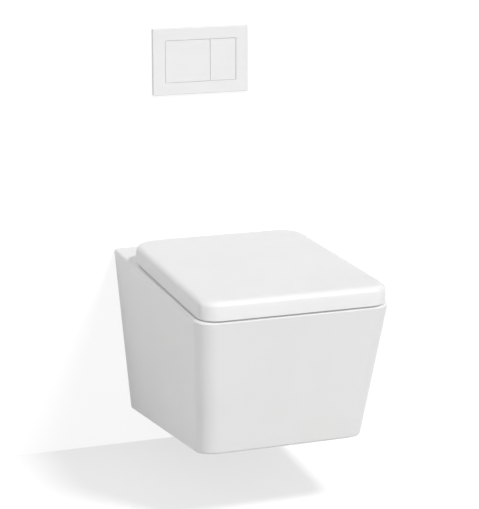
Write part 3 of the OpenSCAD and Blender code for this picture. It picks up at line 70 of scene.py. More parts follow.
class Shader:
    """Grows the node tree of one material, with patterns on Object coordinates."""

    def __init__(self, name: str) -> None:
        """Starts an empty material.

        Args:
            name: The material's name.
        """
        self.material = bpy.data.materials.new(name)
        self.material.use_nodes = True
        self.tree = self.material.node_tree
        self.tree.nodes.clear()
        self.coords = self.add("ShaderNodeTexCoord").outputs["Object"]

    def add(self, kind: str, **settings: object) -> bpy.types.Node:
        """Adds a node.

        Args:
            kind: The node's type name.
            **settings: Attributes that are set on the node.

        Returns:
            The new node.
        """
        node = self.tree.nodes.new(kind)
        for key, value in settings.items():
            setattr(node, key, value)
        return node

    def link(self, value: Socket | float | Colour, socket: Socket) -> None:
        """Feeds a socket, or sets it where the value is plain.

        Args:
            value: An output socket, a number or a colour.
            socket: The input that takes it.
        """
        if isinstance(value, bpy.types.NodeSocket):
            self.tree.links.new(value, socket)
        elif isinstance(value, tuple) and len(value) == 3 and socket.type == "RGBA":
            socket.default_value = (*value, 1.0)
        else:
            socket.default_value = value

    def stretched(self, factors: Triple) -> Socket:
        """Returns Object coordinates scaled by the three factors."""
        mapping = self.add("ShaderNodeMapping")
        self.link(self.coords, mapping.inputs["Vector"])
        mapping.inputs["Scale"].default_value = factors
        return mapping.outputs["Vector"]

    def noise(self, scale: float, detail: float = 3.0, roughness: float = 0.5,
              distortion: float = 0.0, coords: Socket | None = None) -> Socket:
        """Adds a noise texture.

        Args:
            scale: Features per metre.
            detail: Octaves.
            roughness: Share of each finer octave.
            distortion: Swirl of the pattern.
            coords: Coordinates, or None for plain Object coordinates.

        Returns:
            The pattern, from 0 to 1.
        """
        node = self.add("ShaderNodeTexNoise")
        self.link(coords or self.coords, node.inputs["Vector"])
        for key, value in (("Scale", scale), ("Detail", detail), ("Roughness", roughness),
                           ("Distortion", distortion)):
            node.inputs[key].default_value = value
        return node.outputs["Fac"]

    def cells(self, scale: float, feature: str = "F1", output: str = "Distance") -> Socket:
        """Adds a Voronoi texture on plain Object coordinates.

        Args:
            scale: Cells per metre.
            feature: The distance that is measured.
            output: The output that is wanted.

        Returns:
            The wanted output.
        """
        node = self.add("ShaderNodeTexVoronoi", feature=feature)
        self.link(self.coords, node.inputs["Vector"])
        node.inputs["Scale"].default_value = scale
        return node.outputs[output]

    def remap(self, value: Socket, low: float, high: float, to_low: float = 0.0,
              to_high: float = 1.0) -> Socket:
        """Maps a range of a pattern onto another range, held at its ends.

        Args:
            value: The pattern.
            low: Start of the range that is read.
            high: End of the range that is read.
            to_low: Result at the start.
            to_high: Result at the end.

        Returns:
            The mapped value.
        """
        node = self.add("ShaderNodeMapRange", interpolation_type="SMOOTHSTEP")
        self.link(value, node.inputs["Value"])
        for key, number in (("From Min", low), ("From Max", high), ("To Min", to_low),
                            ("To Max", to_high)):
            node.inputs[key].default_value = number
        return node.outputs["Result"]

    def combine(self, a: Socket | float, b: Socket | float, operation: str = "ADD") -> Socket:
        """Joins two values with one math operation.

        Args:
            a: First value.
            b: Second value.
            operation: The math node's operation.

        Returns:
            The result.
        """
        node = self.add("ShaderNodeMath", operation=operation)
        self.link(a, node.inputs[0])
        self.link(b, node.inputs[1])
        return node.outputs["Value"]

    def between(self, factor: Socket, a: Socket | Colour, b: Socket | Colour) -> Socket:
        """Mixes two colours.

        Args:
            factor: Share of the second colour.
            a: First colour.
            b: Second colour.

        Returns:
            The mixed colour.
        """
        node = self.add("ShaderNodeMix", data_type="RGBA")
        self.link(factor, node.inputs["Factor"])
        colours = [s for s in node.inputs if s.type == "RGBA"]
        self.link(a, colours[0])
        self.link(b, colours[1])
        return next(s for s in node.outputs if s.type == "RGBA")

    def axis(self, name: str) -> Socket:
        """Returns one coordinate, X, Y or Z, in metres."""
        node = self.add("ShaderNodeSeparateXYZ")
        self.link(self.coords, node.inputs[0])
        return node.outputs[name]

    def bump(self, height: Socket, distance: float, strength: float,
             below: Socket | None = None) -> Socket:
        """Turns a height pattern into a normal.

        Args:
            height: The pattern, from 0 to 1.
            distance: Height in metres that 1 stands for.
            strength: Share of the effect.
            below: A coarser normal that this one rides on.

        Returns:
            The normal.
        """
        node = self.add("ShaderNodeBump")
        self.link(height, node.inputs["Height"])
        node.inputs["Distance"].default_value = distance
        node.inputs["Strength"].default_value = strength
        if below is not None:
            self.link(below, node.inputs["Normal"])
        return node.outputs["Normal"]

    def surface(self, colour: Socket, roughness: Socket, normal: Socket,
                metallic: float = 0.0) -> bpy.types.Material:
        """Closes the tree with a Principled surface.

        Args:
            colour: Base colour.
            roughness: Roughness.
            normal: Normal.
            metallic: 1 for bare metal.

        Returns:
            The finished material.
        """
        node = self.add("ShaderNodeBsdfPrincipled")
        self.link(colour, node.inputs["Base Color"])
        self.link(roughness, node.inputs["Roughness"])
        self.link(normal, node.inputs["Normal"])
        node.inputs["Metallic"].default_value = metallic
        out = self.add("ShaderNodeOutputMaterial")
        self.link(node.outputs["BSDF"], out.inputs["Surface"])
        return self.material


@dataclass(frozen=True)
class Glaze:
    """Vitreous china under a fired glaze, bare and matt where the casting meets the wall."""

    white: Colour = (0.875, 0.875, 0.875)
    cream: Colour = (0.862, 0.861, 0.857)
    bisque: Colour = (0.70, 0.68, 0.64)
    roughness: float = 0.3
    unevenness: float = 0.03
    bare_roughness: float = 0.55
    bare_from_y: float = -0.0045
    bare_blur: float = 0.0008
    pooling_per_m: float = 7.0
    clouds_per_m: float = 38.0
    pinholes_per_m: float = 140.0
    pinhole_size: float = 0.018
    pinhole_tint: float = 0.25
    wave_per_m: float = 22.0
    wave_rise: float = 0.0003
    skin_per_m: float = 260.0
    skin_rise: float = 0.00003
    grain_per_m: float = 900.0
    grain_rise: float = 0.0002

    def build(self) -> bpy.types.Material:
        """Returns the material."""
        s = Shader("glaze")
        pooling = s.noise(self.pooling_per_m, 2.0)
        pinholes = s.remap(s.cells(self.pinholes_per_m), 0.0, self.pinhole_size, 1.0, 0.0)
        bare = s.remap(s.axis("Y"), self.bare_from_y - self.bare_blur, self.bare_from_y + self.bare_blur)
        tint = s.between(s.remap(pooling, 0.35, 0.7), self.white, self.cream)
        specks = s.between(s.combine(pinholes, self.pinhole_tint, "MULTIPLY"), tint, self.bisque)
        colour = s.between(bare, specks, self.bisque)
        clouds = s.noise(self.clouds_per_m, 4.0, 0.6)
        gloss = s.remap(clouds, 0.3, 0.75, self.roughness, self.roughness + self.unevenness)
        rough = s.combine(gloss, s.combine(bare, self.bare_roughness, "MULTIPLY"))
        wave = s.bump(s.noise(self.wave_per_m, 1.0), self.wave_rise, 0.3)
        skin = s.bump(s.noise(self.skin_per_m, 2.0), self.skin_rise, 0.5, wave)
        grain = s.combine(s.noise(self.grain_per_m, 3.0, 0.6), bare, "MULTIPLY")
        return s.surface(colour, rough, s.bump(grain, self.grain_rise, 0.8, skin))


@dataclass(frozen=True)
class SeatPlastic:
    """Pressed thermoset of the seat and lid: dense, softly glossy, with a very fine orange peel."""

    white: Colour = (0.875, 0.875, 0.875)
    shade: Colour = (0.862, 0.862, 0.859)
    roughness: float = 0.43
    unevenness: float = 0.012
    clouds_per_m: float = 9.0
    handling_per_m: float = 30.0
    sag_per_m: float = 16.0
    sag_rise: float = 0.0003
    peel_per_m: float = 620.0
    peel_rise: float = 0.000001

    def build(self) -> bpy.types.Material:
        """Returns the material."""
        s = Shader("seat_plastic")
        colour = s.between(s.remap(s.noise(self.clouds_per_m, 3.0), 0.35, 0.7), self.white, self.shade)
        handling = s.remap(s.noise(self.handling_per_m, 3.0), 0.3, 0.7, self.roughness,
                           self.roughness + self.unevenness)
        sag = s.bump(s.noise(self.sag_per_m, 1.0), self.sag_rise, 0.2)
        return s.surface(colour, handling, s.bump(s.noise(self.peel_per_m, 2.0), self.peel_rise, 0.6, sag))


@dataclass(frozen=True)
class SatinPlastic:
    """Moulded plastic with a spark-eroded satin texture and faint flow marks."""

    name: str
    colour: Colour
    variation: Colour
    roughness: float = 0.34
    unevenness: float = 0.1
    grain_per_m: float = 2600.0
    grain_rise: float = 0.000002
    wear_per_m: float = 70.0
    flow_per_m: Triple = (6.0, 6.0, 26.0)
    flow_rise: float = 0.0002

    def build(self) -> bpy.types.Material:
        """Returns the material."""
        s = Shader(self.name)
        marks = s.noise(1.0, 4.0, 0.55, 0.6, s.stretched(self.flow_per_m))
        colour = s.between(s.remap(marks, 0.35, 0.7), self.colour, self.variation)
        rough = s.remap(s.noise(self.wear_per_m, 4.0), 0.3, 0.75, self.roughness,
                        self.roughness + self.unevenness)
        form = s.bump(marks, self.flow_rise, 0.3)
        return s.surface(colour, rough, s.bump(s.noise(self.grain_per_m, 2.0), self.grain_rise, 0.7, form))


@dataclass(frozen=True)
class BlownPlastic:
    """Blow-moulded polyethylene of the cistern: waxy, softly uneven, with a coarse skin."""

    colour: Colour = (0.045, 0.05, 0.058)
    bloom: Colour = (0.085, 0.09, 0.098)
    dusty: Colour = (0.16, 0.16, 0.165)
    smoothest: float = 0.36
    roughest: float = 0.56
    streaks_per_m: Triple = (7.0, 7.0, 1.6)
    dust_per_m: float = 120.0
    dust_cover: float = 0.4
    dust_rise: float = 0.00008
    sag_per_m: float = 14.0
    sag_rise: float = 0.004
    skin_per_m: float = 420.0
    skin_rise: float = 0.00012

    def build(self) -> bpy.types.Material:
        """Returns the material."""
        s = Shader("blown_plastic")
        streaks = s.noise(1.0, 5.0, 0.6, 0.8, s.stretched(self.streaks_per_m))
        dust = s.noise(self.dust_per_m, 5.0, 0.7)
        bloomed = s.between(s.remap(streaks, 0.35, 0.8), self.colour, self.bloom)
        colour = s.between(s.remap(dust, 0.52, 0.85, 0.0, self.dust_cover), bloomed, self.dusty)
        rough = s.remap(streaks, 0.3, 0.8, self.smoothest, self.roughest)
        sag = s.bump(s.noise(self.sag_per_m, 2.0), self.sag_rise, 0.3)
        skin = s.bump(s.cells(self.skin_per_m, "SMOOTH_F1"), self.skin_rise, 0.8, sag)
        return s.surface(colour, rough, s.bump(dust, self.dust_rise, 0.5, skin))


@dataclass(frozen=True)
class SoftRubber:
    """Black sealing rubber with a fine bloom."""

    colour: Colour = (0.016, 0.016, 0.017)
    bloom: Colour = (0.05, 0.05, 0.052)
    smoothest: float = 0.5
    roughest: float = 0.72
    bloom_per_m: float = 160.0
    grain_per_m: float = 1800.0
    grain_rise: float = 0.00006

    def build(self) -> bpy.types.Material:
        """Returns the material."""
        s = Shader("soft_rubber")
        cloud = s.noise(self.bloom_per_m, 6.0, 0.7)
        colour = s.between(s.remap(cloud, 0.5, 0.85), self.colour, self.bloom)
        rough = s.remap(cloud, 0.3, 0.8, self.smoothest, self.roughest)
        return s.surface(colour, rough, s.bump(s.noise(self.grain_per_m, 3.0), self.grain_rise, 0.8))


@dataclass(frozen=True)
class CellFoam:
    """Closed-cell polyethylene foam of the gasket."""

    colour: Colour = (0.40, 0.40, 0.42)
    hollow: Colour = (0.20, 0.20, 0.21)
    smoothest: float = 0.8
    roughest: float = 0.95
    wear_per_m: float = 60.0
    cells_per_m: float = 1100.0
    cell_rise: float = 0.00008

    def build(self) -> bpy.types.Material:
        """Returns the material."""
        s = Shader("cell_foam")
        cells = s.cells(self.cells_per_m)
        colour = s.between(s.remap(cells, 0.25, 0.7), self.colour, self.hollow)
        rough = s.remap(s.noise(self.wear_per_m), 0.3, 0.7, self.smoothest, self.roughest)
        return s.surface(colour, rough, s.bump(cells, self.cell_rise, 0.7))


@dataclass(frozen=True)
class ZincSteel:
    """Galvanised or passivated steel with a fine spangle and drawn-on handling marks."""

    light: Colour = (0.62, 0.63, 0.65)
    dark: Colour = (0.43, 0.445, 0.47)
    smoothest: float = 0.24
    roughest: float = 0.46
    spangle_per_m: float = 160.0
    spangle_share: float = 0.55
    spangle_rise: float = 0.00003
    stain_per_m: float = 30.0
    stain_share: float = 0.5
    drawn_per_m: Triple = (2400.0, 2400.0, 160.0)
    drawn_rise: float = 0.00002

    def build(self) -> bpy.types.Material:
        """Returns the material."""
        s = Shader("zinc_steel")
        grey = s.add("ShaderNodeRGBToBW")
        s.link(s.cells(self.spangle_per_m, "F1", "Color"), grey.inputs["Color"])
        spangle = grey.outputs["Val"]
        stain = s.combine(s.noise(self.stain_per_m, 5.0, 0.6), self.stain_share, "MULTIPLY")
        tone = s.combine(s.combine(spangle, self.spangle_share, "MULTIPLY"), stain)
        colour = s.between(s.remap(tone, 0.25, 0.8), self.light, self.dark)
        rough = s.remap(tone, 0.2, 0.8, self.smoothest, self.roughest)
        drawn = s.noise(1.0, 2.0, 0.5, 0.0, s.stretched(self.drawn_per_m))
        crystals = s.bump(spangle, self.spangle_rise, 0.4)
        return s.surface(colour, rough, s.bump(drawn, self.drawn_rise, 0.5, crystals), metallic=1.0)


@dataclass(frozen=True)
class Chrome:
    """Bright chrome plating with faint wipe marks."""

    colour: Colour = (0.83, 0.835, 0.845)
    smear: Colour = (0.72, 0.73, 0.745)
    smoothest: float = 0.05
    roughest: float = 0.2
    wipes_per_m: Triple = (60.0, 240.0, 60.0)
    polish_per_m: float = 90.0
    polish_rise: float = 0.00005

    def build(self) -> bpy.types.Material:
        """Returns the material."""
        s = Shader("chrome")
        wipe = s.noise(1.0, 4.0, 0.6, 1.2, s.stretched(self.wipes_per_m))
        colour = s.between(s.remap(wipe, 0.45, 0.8), self.colour, self.smear)
        rough = s.remap(wipe, 0.35, 0.8, self.smoothest, self.roughest)
        polish = s.bump(s.noise(self.polish_per_m, 2.0), self.polish_rise, 0.4)
        return s.surface(colour, rough, polish, metallic=1.0)


@dataclass(frozen=True)
class PowderCoat:
    """Powder coating of the frame: even colour, marked orange peel, a few scuffs."""

    colour: Colour = (0.022, 0.062, 0.175)
    pale: Colour = (0.035, 0.082, 0.205)
    scuff: Colour = (0.16, 0.19, 0.25)
    smoothest: float = 0.27
    roughest: float = 0.36
    tone_per_m: float = 24.0
    scuffs_per_m: Triple = (40.0, 40.0, 12.0)
    scuff_cover: float = 0.75
    scuff_roughness: float = 0.3
    scuff_depth: float = 0.00005
    peel_per_m: float = 520.0
    peel_rise: float = 0.00016

    def build(self) -> bpy.types.Material:
        """Returns the material."""
        s = Shader("powder_coat")
        tone = s.noise(self.tone_per_m, 4.0, 0.6)
        rubbed = s.noise(1.0, 6.0, 0.75, 0.5, s.stretched(self.scuffs_per_m))
        scuffs = s.remap(rubbed, 0.66, 0.74, 0.0, self.scuff_cover)
        coat = s.between(s.remap(tone, 0.3, 0.75), self.colour, self.pale)
        gloss = s.remap(tone, 0.3, 0.75, self.smoothest, self.roughest)
        rough = s.combine(gloss, s.combine(scuffs, self.scuff_roughness, "MULTIPLY"))
        peel = s.bump(s.noise(self.peel_per_m, 1.0), self.peel_rise, 0.7)
        worn = s.bump(s.combine(scuffs, -1.0, "MULTIPLY"), self.scuff_depth, 0.6, peel)
        return s.surface(s.between(scuffs, coat, self.scuff), rough, worn)


@dataclass(frozen=True)
class TurnedBrass:
    """Machined brass, a little tarnished, with fine turning rings along X."""

    bright: Colour = (0.72, 0.52, 0.22)
    tarnish: Colour = (0.42, 0.28, 0.12)
    smoothest: float = 0.2
    roughest: float = 0.42
    stain_per_m: float = 85.0
    rings_per_m: Triple = (3200.0, 120.0, 120.0)
    ring_rise: float = 0.00003

    def build(self) -> bpy.types.Material:
        """Returns the material."""
        s = Shader("turned_brass")
        stain = s.noise(self.stain_per_m, 5.0, 0.7, 0.4)
        colour = s.between(s.remap(stain, 0.45, 0.85), self.bright, self.tarnish)
        rough = s.remap(stain, 0.3, 0.8, self.smoothest, self.roughest)
        rings = s.noise(1.0, 2.0, 0.5, 0.0, s.stretched(self.rings_per_m))
        return s.surface(colour, rough, s.bump(rings, self.ring_rise, 0.6), metallic=1.0)


class Slot(Enum):
    """The record's material slots."""

    CERAMIC = "ceramic"
    SEAT = "seat_plastic"
    PLATE = "plate_plastic"
    RUBBER = "rubber"
    FOAM = "foam"
    STEEL = "bare_steel"
    CHROME = "chromed"
    PAINT = "frame_paint"
    TANK = "tank_plastic"
    VALVE = "valve_plastic"
    PLAIN = "plain_plastic"
    PIPE = "pipe_plastic"
    BRASS = "brass"


FINISHES = {
    Slot.CERAMIC: Glaze(),
    Slot.SEAT: SeatPlastic(),
    Slot.PLATE: SatinPlastic("plate_plastic", (0.84, 0.84, 0.84), (0.828, 0.828, 0.828), unevenness=0.015),
    Slot.RUBBER: SoftRubber(),
    Slot.FOAM: CellFoam(),
    Slot.STEEL: ZincSteel(),
    Slot.CHROME: Chrome(),
    Slot.PAINT: PowderCoat(),
    Slot.TANK: BlownPlastic(),
    Slot.VALVE: SatinPlastic("valve_plastic", (0.05, 0.16, 0.42), (0.065, 0.19, 0.46), roughness=0.33),
    Slot.PLAIN: SatinPlastic("plain_plastic", (0.69, 0.70, 0.71), (0.64, 0.65, 0.665), roughness=0.36,
                             grain_per_m=1800.0),
    Slot.PIPE: SatinPlastic("pipe_plastic", (0.012, 0.012, 0.014), (0.022, 0.022, 0.024),
                            grain_per_m=1500.0, grain_rise=0.00001),
    Slot.BRASS: TurnedBrass(),
}


# ---------------------------------------------------------------- placing

class Wardrobe:
    """Builds each finish once, dresses solids and new pieces, and places them on their bodies."""

    edge_segments = 3
    shading_weight = 80

    def __init__(self) -> None:
        """Builds the finishes and reads which slot and body each node takes."""
        self.materials = {slot: finish.build() for slot, finish in FINISHES.items()}
        self.slot_of = {row["node"]: Slot(row["material_slot"]) for row in frame["record"]["subparts"]}
        bodies = frame["record"]["behaviour"]["bodies"]
        self.body_of = {node: body for body, nodes in bodies.items() for node in nodes}

    def dress_nodes(self) -> None:
        """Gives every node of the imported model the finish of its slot."""
        for node, obj in frame["nodes"].items():
            material = self.materials[self.slot_of[node]]
            for slot in obj.material_slots:
                slot.material = material
            log.info("node %s: %s", node, material.name)

    def place(self, obj: bpy.types.Object, body: str, slot: Slot, replaces: Iterable[str] = ()) -> None:
        """Dresses a new piece, hides the nodes that it stands for, and lets it ride.

        Args:
            obj: The new piece, already in place.
            body: The body that it moves with.
            slot: The slot whose finish it takes.
            replaces: The nodes that it stands for.
        """
        obj.data.materials.clear()
        obj.data.materials.append(self.materials[slot])
        names = tuple(replaces)
        if names:
            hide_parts(*names)
        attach(obj, body)
        log.info("piece %s on %s, for %s", obj.name, body, names or "itself")

    def smooth_copy(self, node: str, name: str, angle: float, edge_r: float = 0.0) -> None:
        """Replaces a node by a merged copy of its mesh with evenly shaded curves.

        Args:
            node: The node that is copied and replaced.
            name: The new piece's name.
            angle: Edges sharper than this many degrees stay sharp.
            edge_r: Rounding of the edges, or 0 to leave them.
        """
        shape = bmesh.new()
        shape.from_mesh(frame["nodes"][node].data)
        bmesh.ops.remove_doubles(shape, verts=shape.verts, dist=MERGE_WITHIN)
        bmesh.ops.dissolve_limit(shape, angle_limit=math.radians(FLAT_WITHIN_DEGREES), verts=shape.verts,
                                 edges=shape.edges, use_dissolve_boundaries=False)
        obj = new_object(name, shape, angle)
        if edge_r:
            soften = obj.modifiers.new("rounded_edges", "BEVEL")
            soften.width = edge_r
            soften.segments = self.edge_segments
            soften.angle_limit = math.radians(angle)
        weigh = obj.modifiers.new("even_shading", "WEIGHTED_NORMAL")
        weigh.keep_sharp = True
        weigh.weight = self.shading_weight
        self.place(obj, self.body_of[node], self.slot_of[node], [node])


def new_object(name: str, shape: bmesh.types.BMesh, smooth_angle: float = 35.0) -> bpy.types.Object:
    """Makes an object at the origin from a bmesh, which it frees.

    Args:
        name: The object's name.
        shape: The mesh, in place.
        smooth_angle: Edges sharper than this many degrees stay sharp.

    Returns:
        The new object, linked to the scene.
    """
    mesh = bpy.data.meshes.new(name)
    shape.to_mesh(mesh)
    shape.free()
    for attribute in ("custom_normal", "sharp_edge", "sharp_face"):
        if attribute in mesh.attributes:
            mesh.attributes.remove(mesh.attributes[attribute])
    mesh.shade_smooth()
    mesh.set_sharp_from_angle(angle=math.radians(smooth_angle))
    obj = bpy.data.objects.new(name, mesh)
    bpy.context.scene.collection.objects.link(obj)
    return obj


# ---------------------------------------------------------------- shaping

# Lays a piece that is made along Z along Y.
LAID_ALONG_Y = Matrix.Rotation(-math.pi / 2, 4, "X")


def add_copy(target: bmesh.types.BMesh, part: bmesh.types.BMesh, place: Matrix) -> None:
    """Adds a copy of one bmesh to another.

    Args:
        target: The mesh that grows.
        part: The mesh that is copied.
        place: Where the copy goes.
    """
    mesh = bpy.data.meshes.new("copied")
    part.to_mesh(mesh)
    mesh.transform(place)
    target.from_mesh(mesh)
    bpy.data.meshes.remove(mesh)


def add_block(target: bmesh.types.BMesh, low: Iterable[float], high: Iterable[float], edge_r: float) -> None:
    """Adds a block with rounded edges.

    Args:
        target: The mesh that grows.
        low: Its lowest corner.
        high: Its highest corner.
        edge_r: Radius of its edges.
    """
    low, high = Vector(low), Vector(high)
    block = bmesh.new()
    bmesh.ops.create_cube(block, size=1.0)
    bmesh.ops.scale(block, vec=high - low, verts=block.verts)
    bmesh.ops.bevel(block, geom=block.edges[:], offset=edge_r, offset_type="OFFSET", segments=2, profile=0.5,
                    affect="EDGES", material=-1)
    add_copy(target, block, Matrix.Translation((low + high) / 2))
    block.free()


def screw_thread(core_r: float, crest_r: float, pitch: float, length: float) -> bmesh.types.BMesh:
    """Makes a threaded length of rod along Z, with a chamfer at both ends.

    Args:
        core_r: Radius at the foot of the thread.
        crest_r: Radius over the thread.
        pitch: Advance of one turn.
        length: Length between the chamfers.

    Returns:
        The rod, from Z = 0 to its length.
    """
    steps_per_turn = 20
    turns = math.ceil(length / pitch) + 2
    rod = bmesh.new()
    profile = [rod.verts.new((radius, 0.0, height))
               for radius, height in ((core_r, -pitch), (crest_r, -pitch / 2), (core_r, 0.0))]
    edges = [rod.edges.new(profile[:2]), rod.edges.new(profile[1:])]
    bmesh.ops.spin(rod, geom=profile + edges, cent=(0.0, 0.0, 0.0), axis=(0.0, 0.0, 1.0),
                   dvec=(0.0, 0.0, pitch / steps_per_turn), angle=turns * math.tau,
                   steps=turns * steps_per_turn, use_merge=False, use_normal_flip=False,
                   use_duplicate=False)
    bmesh.ops.remove_doubles(rod, verts=rod.verts, dist=pitch / 100)
    for height, outwards in ((0.0, -1.0), (length, 1.0)):
        bmesh.ops.bisect_plane(rod, geom=rod.verts[:] + rod.edges[:] + rod.faces[:],
                               plane_co=(0.0, 0.0, height), plane_no=(0.0, 0.0, outwards),
                               clear_outer=True)
    caps = bmesh.ops.holes_fill(rod, edges=[e for e in rod.edges if e.is_boundary], sides=0)["faces"]
    bmesh.ops.recalc_face_normals(rod, faces=rod.faces)
    chamfer = crest_r - core_r
    bmesh.ops.inset_region(rod, faces=caps, thickness=chamfer, depth=chamfer, use_even_offset=True)
    return rod


def chamfered_nut(across: float, height: float, bore_r: float) -> bmesh.types.BMesh:
    """Makes a nut along Z with its corners turned off at both ends.

    Args:
        across: Width across the flats.
        height: Its height.
        bore_r: Radius of the bore.

    Returns:
        The nut, from Z = 0 to its height.
    """
    bore_sides, cuts = 24, 18
    slope = math.radians(30.0)
    face_r = across * 0.485
    nut = bmesh.new()
    bmesh.ops.create_circle(nut, segments=6, radius=across / math.sqrt(3.0))
    bmesh.ops.create_circle(nut, segments=bore_sides, radius=bore_r)
    bmesh.ops.bridge_loops(nut, edges=nut.edges)
    raised = bmesh.ops.extrude_face_region(nut, geom=nut.faces[:])["geom"]
    bmesh.ops.translate(nut, vec=(0.0, 0.0, height),
                        verts=[v for v in raised if isinstance(v, bmesh.types.BMVert)])
    for level, upwards in ((0.0, -1.0), (height, 1.0)):
        for turn in (math.tau * i / cuts for i in range(cuts)):
            out = Vector((math.cos(turn), math.sin(turn), 0.0))
            lean = out * math.sin(slope) + Vector((0.0, 0.0, upwards * math.cos(slope)))
            cut = bmesh.ops.bisect_plane(nut, geom=nut.verts[:] + nut.edges[:] + nut.faces[:],
                                         plane_co=out * face_r + Vector((0.0, 0.0, level)),
                                         plane_no=lean, clear_outer=True)["geom_cut"]
            bmesh.ops.holes_fill(nut, edges=[e for e in cut if isinstance(e, bmesh.types.BMEdge)], sides=0)
    bmesh.ops.remove_doubles(nut, verts=nut.verts, dist=MERGE_WITHIN)
    bmesh.ops.recalc_face_normals(nut, faces=nut.faces)
    return nut


def add_weld(target: bmesh.types.BMesh, start: Iterable[float], end: Iterable[float], bead_r: float) -> None:
    """Adds a weld bead, as a row of overlapping ripples.

    Args:
        target: The mesh that grows.
        start: Where the bead starts.
        end: Where it ends.
        bead_r: Radius of a ripple.
    """
    start, end = Vector(start), Vector(end)
    run = end - start
    flattening = 0.8
    count = round(run.length / (bead_r * flattening))
    lean = run.to_track_quat("Z", "Y").to_matrix().to_4x4()
    ripple = bmesh.new()
    bmesh.ops.create_uvsphere(ripple, u_segments=8, v_segments=5, radius=bead_r)
    bmesh.ops.scale(ripple, vec=(1.0, 1.0, flattening), verts=ripple.verts)
    for i in range(count + 1):
        add_copy(target, ripple, Matrix.Translation(start + run * i / count) @ lean)
    ripple.free()


# ---------------------------------------------------------------- sub-assemblies

@dataclass
class Pan:
    """The ceramic casting: outer walls, bowl and trapway."""

    smooth_angle: float = 50.0

    def build(self, wardrobe: Wardrobe) -> None:
        """Builds and places the casting's pieces."""
        wardrobe.smooth_copy("pan", "pan_body", self.smooth_angle)
        wardrobe.smooth_copy("pan_bowl", "pan_bowl_shell", self.smooth_angle)
        wardrobe.smooth_copy("pan_trapway", "pan_trapway_shell", self.smooth_angle)


@dataclass
class SeatAndLid:
    """The seat ring and the wrap-over lid."""

    smooth_angle: float = 35.0

    def build(self, wardrobe: Wardrobe) -> None:
        """Builds and places the seat's pieces."""
        wardrobe.smooth_copy("seat_ring", "seat_ring_shell", self.smooth_angle)
        wardrobe.smooth_copy("lid", "lid_shell", self.smooth_angle)


@dataclass
class FlushPlate:
    """The plate on the wall and its two push buttons."""

    edge_r: float = 0.4 * MM
    smooth_angle: float = 30.0

    def build(self, wardrobe: Wardrobe) -> None:
        """Builds and places the plate's pieces."""
        for node in ("flush_plate", "full_button", "half_button"):
            wardrobe.smooth_copy(node, node + "_cap", self.smooth_angle, self.edge_r)


@dataclass
class Fixings:
    """Threaded rods and nuts that carry the pan, and the threads of the wall brackets."""

    pitch: float = 1.75 * MM
    depth: float = 1.0 * MM
    fine_pitch: float = 1.25 * MM
    fine_depth: float = 0.55 * MM
    nut_h: float = 10.0 * MM
    nut_bore_r: float = 6.05 * MM
    bracket_rod_r: float = 5.0 * MM
    bracket_half_w: float = 28.0 * MM
    bracket_nut_h: float = 9.0 * MM
    bracket_plate_t: float = 4.0 * MM
    thread_angle: float = 50.0
    nut_angle: float = 20.0

    def build(self, wardrobe: Wardrobe) -> None:
        """Builds and places the fixings."""
        self.pan_rods(wardrobe)
        self.rod_nuts(wardrobe)
        self.bracket_threads(wardrobe)

    def pan_rods(self, wardrobe: Wardrobe) -> None:
        """Adds the two rods that the pan hangs on."""
        low, high = (Vector(corner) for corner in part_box("threaded_rods"))
        crest = (high.z - low.z) / 2
        length = high.y - low.y - 2 * self.depth
        rod = screw_thread(crest - self.depth, crest, self.pitch, length)
        both = bmesh.new()
        for x in (low.x + crest, high.x - crest):
            add_copy(both, rod, Matrix.Translation((x, low.y + self.depth, low.z + crest)) @ LAID_ALONG_Y)
        rod.free()
        wardrobe.place(new_object("pan_rods", both, self.thread_angle), wardrobe.body_of["threaded_rods"],
                       Slot.STEEL, ["threaded_rods"])

    def rod_nuts(self, wardrobe: Wardrobe) -> None:
        """Adds the nuts that clamp the rods to the mounting plate, one pair on each rod."""
        low, high = (Vector(corner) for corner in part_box("rod_nuts"))
        across = high.z - low.z
        corner_r = across / math.sqrt(3.0)
        nut = chamfered_nut(across, self.nut_h, self.nut_bore_r)
        corners_sideways = Matrix.Rotation(math.pi / 6, 4, "Z")
        nuts = bmesh.new()
        for x in (low.x + corner_r, high.x - corner_r):
            for y in (low.y, high.y - self.nut_h):
                middle = Matrix.Translation((x, y, (low.z + high.z) / 2))
                add_copy(nuts, nut, middle @ LAID_ALONG_Y @ corners_sideways)
        nut.free()
        wardrobe.place(new_object("rod_nut_pairs", nuts, self.nut_angle), wardrobe.body_of["rod_nuts"],
                       Slot.STEEL, ["rod_nuts"])

    def bracket_threads(self, wardrobe: Wardrobe) -> None:
        """Adds the threads on the rods that stand the frame off the building wall."""
        low, high = (Vector(corner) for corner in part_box("wall_brackets"))
        crossbar_low, crossbar_high = (Vector(corner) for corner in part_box("top_crossbar"))
        height = (crossbar_low.z + crossbar_high.z) / 2
        start, end = crossbar_high.y + self.bracket_nut_h, high.y - self.bracket_plate_t - self.fine_pitch
        crest = self.bracket_rod_r + self.fine_depth / 2
        rod = screw_thread(crest - self.fine_depth, crest, self.fine_pitch, end - start)
        both = bmesh.new()
        for x in (low.x, high.x):
            middle = x - math.copysign(self.bracket_half_w, x)
            add_copy(both, rod, Matrix.Translation((middle, start, height)) @ LAID_ALONG_Y)
        rod.free()
        wardrobe.place(new_object("bracket_threads", both, self.thread_angle),
                       wardrobe.body_of["wall_brackets"], Slot.STEEL)


